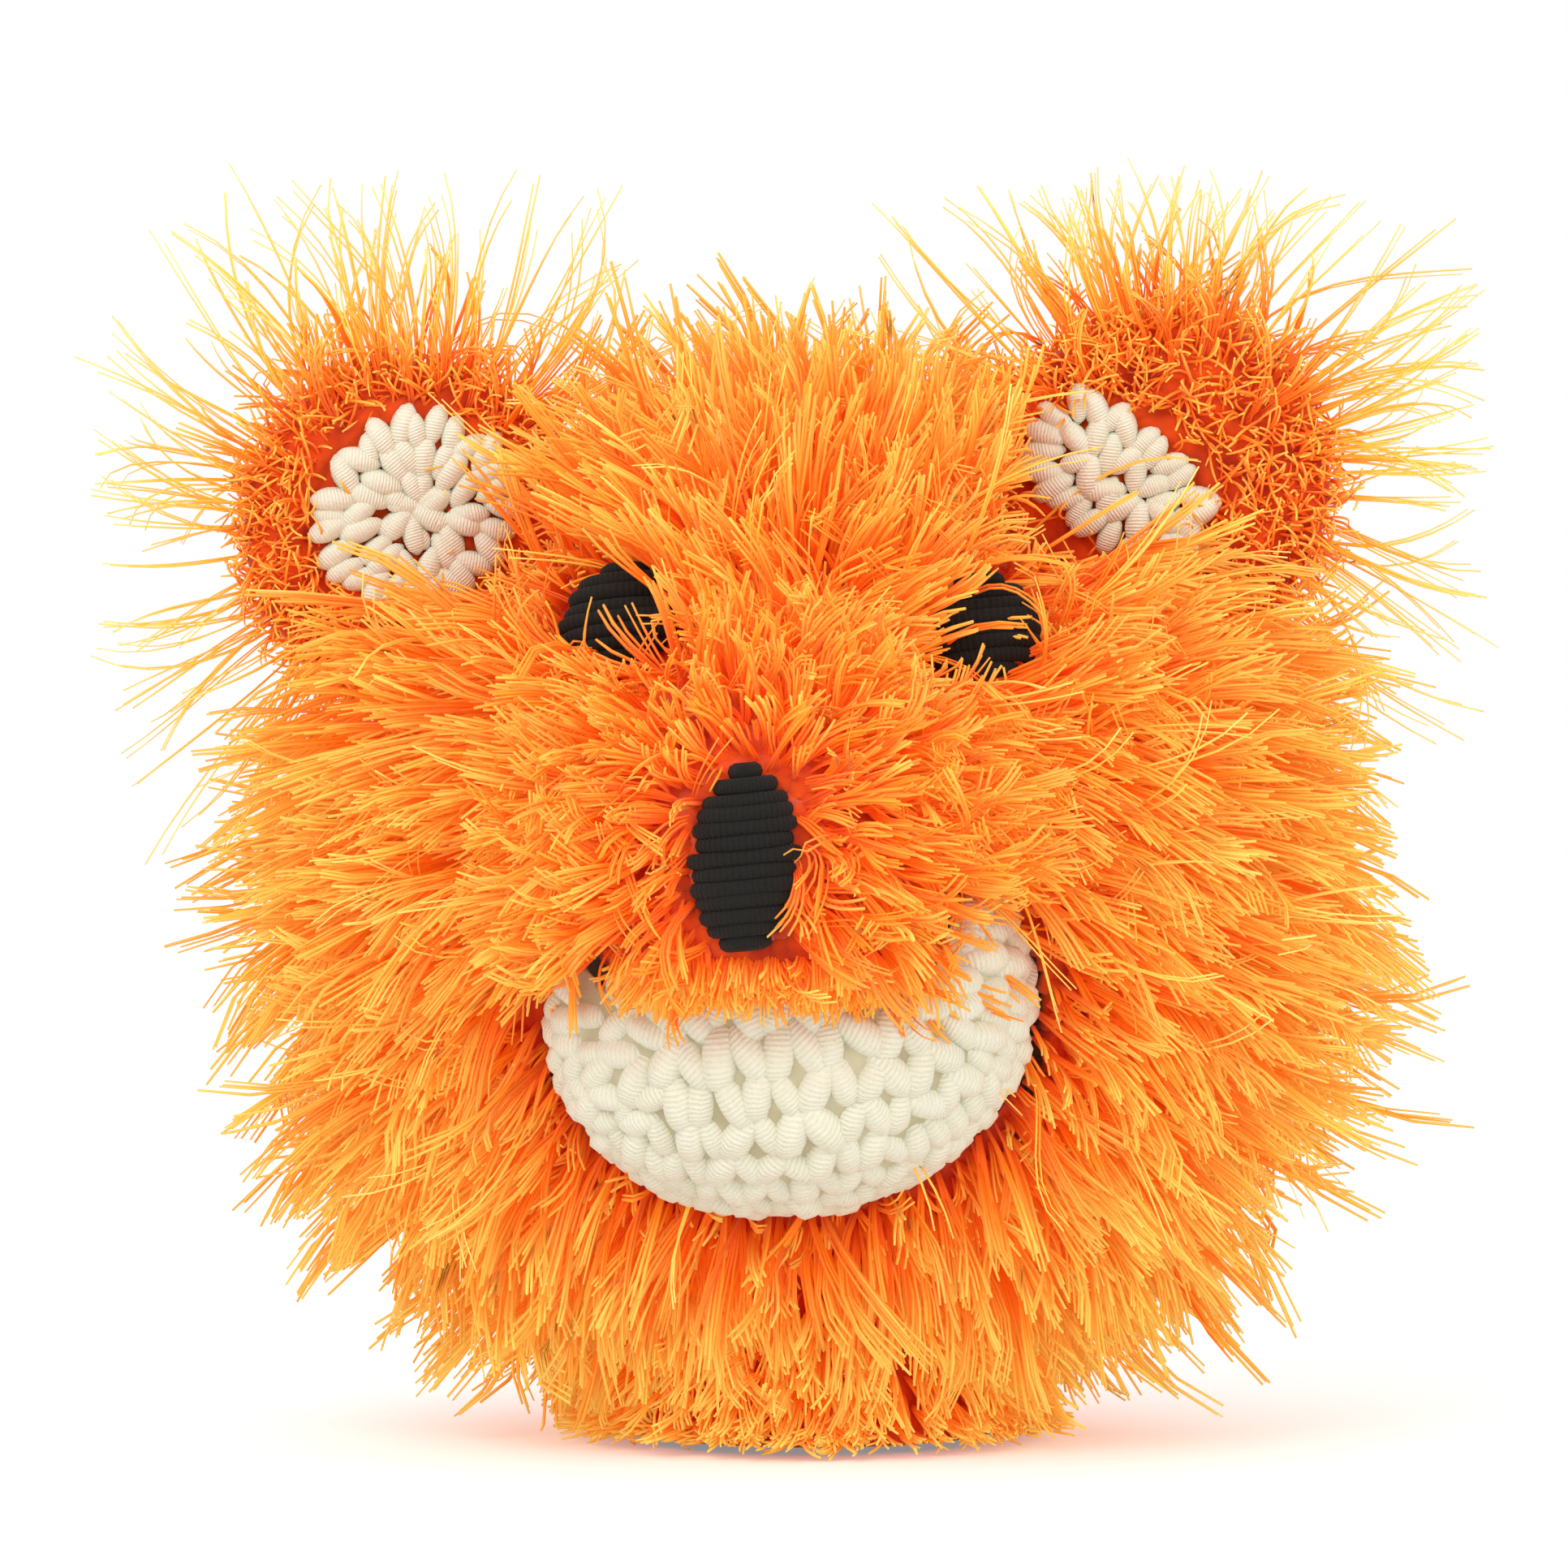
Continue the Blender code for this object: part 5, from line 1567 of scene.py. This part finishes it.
@dataclass
class Studio:
    """The pale floor and backdrop, the soft lights and the camera."""

    target: tuple[float, float, float] = (-4.0, -20.0, 95.0)
    elevation: float = 1.0
    width: float = 222.0
    lens: float = 160.0

    def backdrop(self) -> None:
        """Lays one pale floor under the puppet."""
        bpy.ops.object.select_all(action="DESELECT")
        bpy.ops.mesh.primitive_plane_add(size=6.0, location=(0.0, 0.0, 0.0))
        floor = bpy.context.object
        floor.name = "floor"
        material = bpy.data.materials.new("pale_floor")
        material.use_nodes = True
        shader = material.node_tree.nodes["Principled BSDF"]
        shader.inputs["Base Color"].default_value = (0.93, 0.93, 0.92, 1.0)
        shader.inputs["Roughness"].default_value = 0.9
        shader.inputs["Specular IOR Level"].default_value = 0.0
        shader.inputs["Emission Color"].default_value = (1.0, 1.0, 1.0, 1.0)
        nodes = Nodes(material.node_tree)
        glow = nodes.add("ShaderNodeMath", operation="MULTIPLY")
        glow.inputs[1].default_value = 0.24
        nodes.link(seen_straight(nodes), glow.inputs[0])
        nodes.link(glow.outputs["Value"], shader.inputs["Emission Strength"])
        floor.data.materials.append(material)

    def lights(self) -> None:
        """Sets the white surround and a soft key from above."""
        surround = bpy.data.worlds.new("surround")
        bpy.context.scene.world = surround
        surround.use_nodes = True
        nodes = Nodes(surround.node_tree)
        back = surround.node_tree.nodes["Background"]
        back.inputs["Color"].default_value = (1.0, 1.0, 1.0, 1.0)
        strength = nodes.add("ShaderNodeMapRange")
        strength.inputs["To Min"].default_value = 0.86
        strength.inputs["To Max"].default_value = 1.0
        nodes.link(seen_straight(nodes), strength.inputs["Value"])
        nodes.link(strength.outputs["Result"], back.inputs["Strength"])
        for name, place, size, power in (
            ("key", (-0.45, -0.75, 0.75), 0.7, 4.5),
            ("fill", (0.6, -0.7, 0.35), 0.9, 2.5),
        ):
            light = bpy.data.lights.new(name, "AREA")
            light.size = size
            light.energy = power
            lamp = bpy.data.objects.new(name, light)
            bpy.context.scene.collection.objects.link(lamp)
            lamp.location = place
            aim = -np.array(place) + np.array([0.0, 0.0, 0.08])
            lamp.rotation_euler = aim_at(aim)

    def camera(self) -> None:
        """Sets the camera a little above the face's middle."""
        data = bpy.data.cameras.new("camera")
        data.lens = self.lens
        data.sensor_width = 36.0
        distance = self.width * MM * self.lens / 36.0
        tilt = math.radians(self.elevation)
        aim = np.array([0.0, math.cos(tilt), -math.sin(tilt)])
        camera = bpy.data.objects.new("camera", data)
        bpy.context.scene.collection.objects.link(camera)
        camera.location = world(np.array(self.target)) - aim * distance
        camera.rotation_euler = aim_at(aim)
        bpy.context.scene.camera = camera

    def build(self) -> None:
        """Builds the stage."""
        self.backdrop()
        self.lights()
        self.camera()
        bpy.context.scene.view_settings.view_transform = "Standard"


def seen_straight(nodes: Nodes) -> bpy.types.NodeSocket:
    """Marks the rays by which a surface is seen, in a mirror or through glass too.

    Args:
        nodes: The stage material's or the world's nodes.

    Returns:
        A socket that is one for those rays and zero for the light on the object.
    """
    path = nodes.add("ShaderNodeLightPath")
    total = path.outputs["Is Camera Ray"]
    for name in ("Is Glossy Ray", "Is Transmission Ray"):
        either = nodes.add("ShaderNodeMath", operation="MAXIMUM")
        nodes.link(total, either.inputs[0])
        nodes.link(path.outputs[name], either.inputs[1])
        total = either.outputs["Value"]
    return total


def aim_at(way: Array) -> tuple[float, float, float]:
    """Finds the turn that points a lamp or camera along a way."""
    x, y, z = unit(way)
    return (math.acos(-z), 0.0, math.atan2(y, x) - math.pi / 2)


def main() -> None:
    """Builds the puppet on its frame."""
    logging.basicConfig(level=logging.INFO, format="%(name)s: %(message)s")
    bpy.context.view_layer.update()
    Studio().build()
    finishes = Finishes()
    HeadFur(finishes).build()
    Snout(finishes).build()
    Jaw(finishes).build()
    for name in ("eye_left", "eye_right", "nose"):
        YarnPad(name, name, finishes).build()
    Ear("left", EAR_LEANS["left"], Body.EAR_LEFT, finishes, 200, -5.0, -4.5, 5.5, 2).build()
    Ear("right", EAR_LEANS["right"], Body.EAR_RIGHT, finishes, 300, 2.5, 1.0, 0.8, 3).build()
    Insides(finishes).build()


if __name__ == "__main__":
    main()
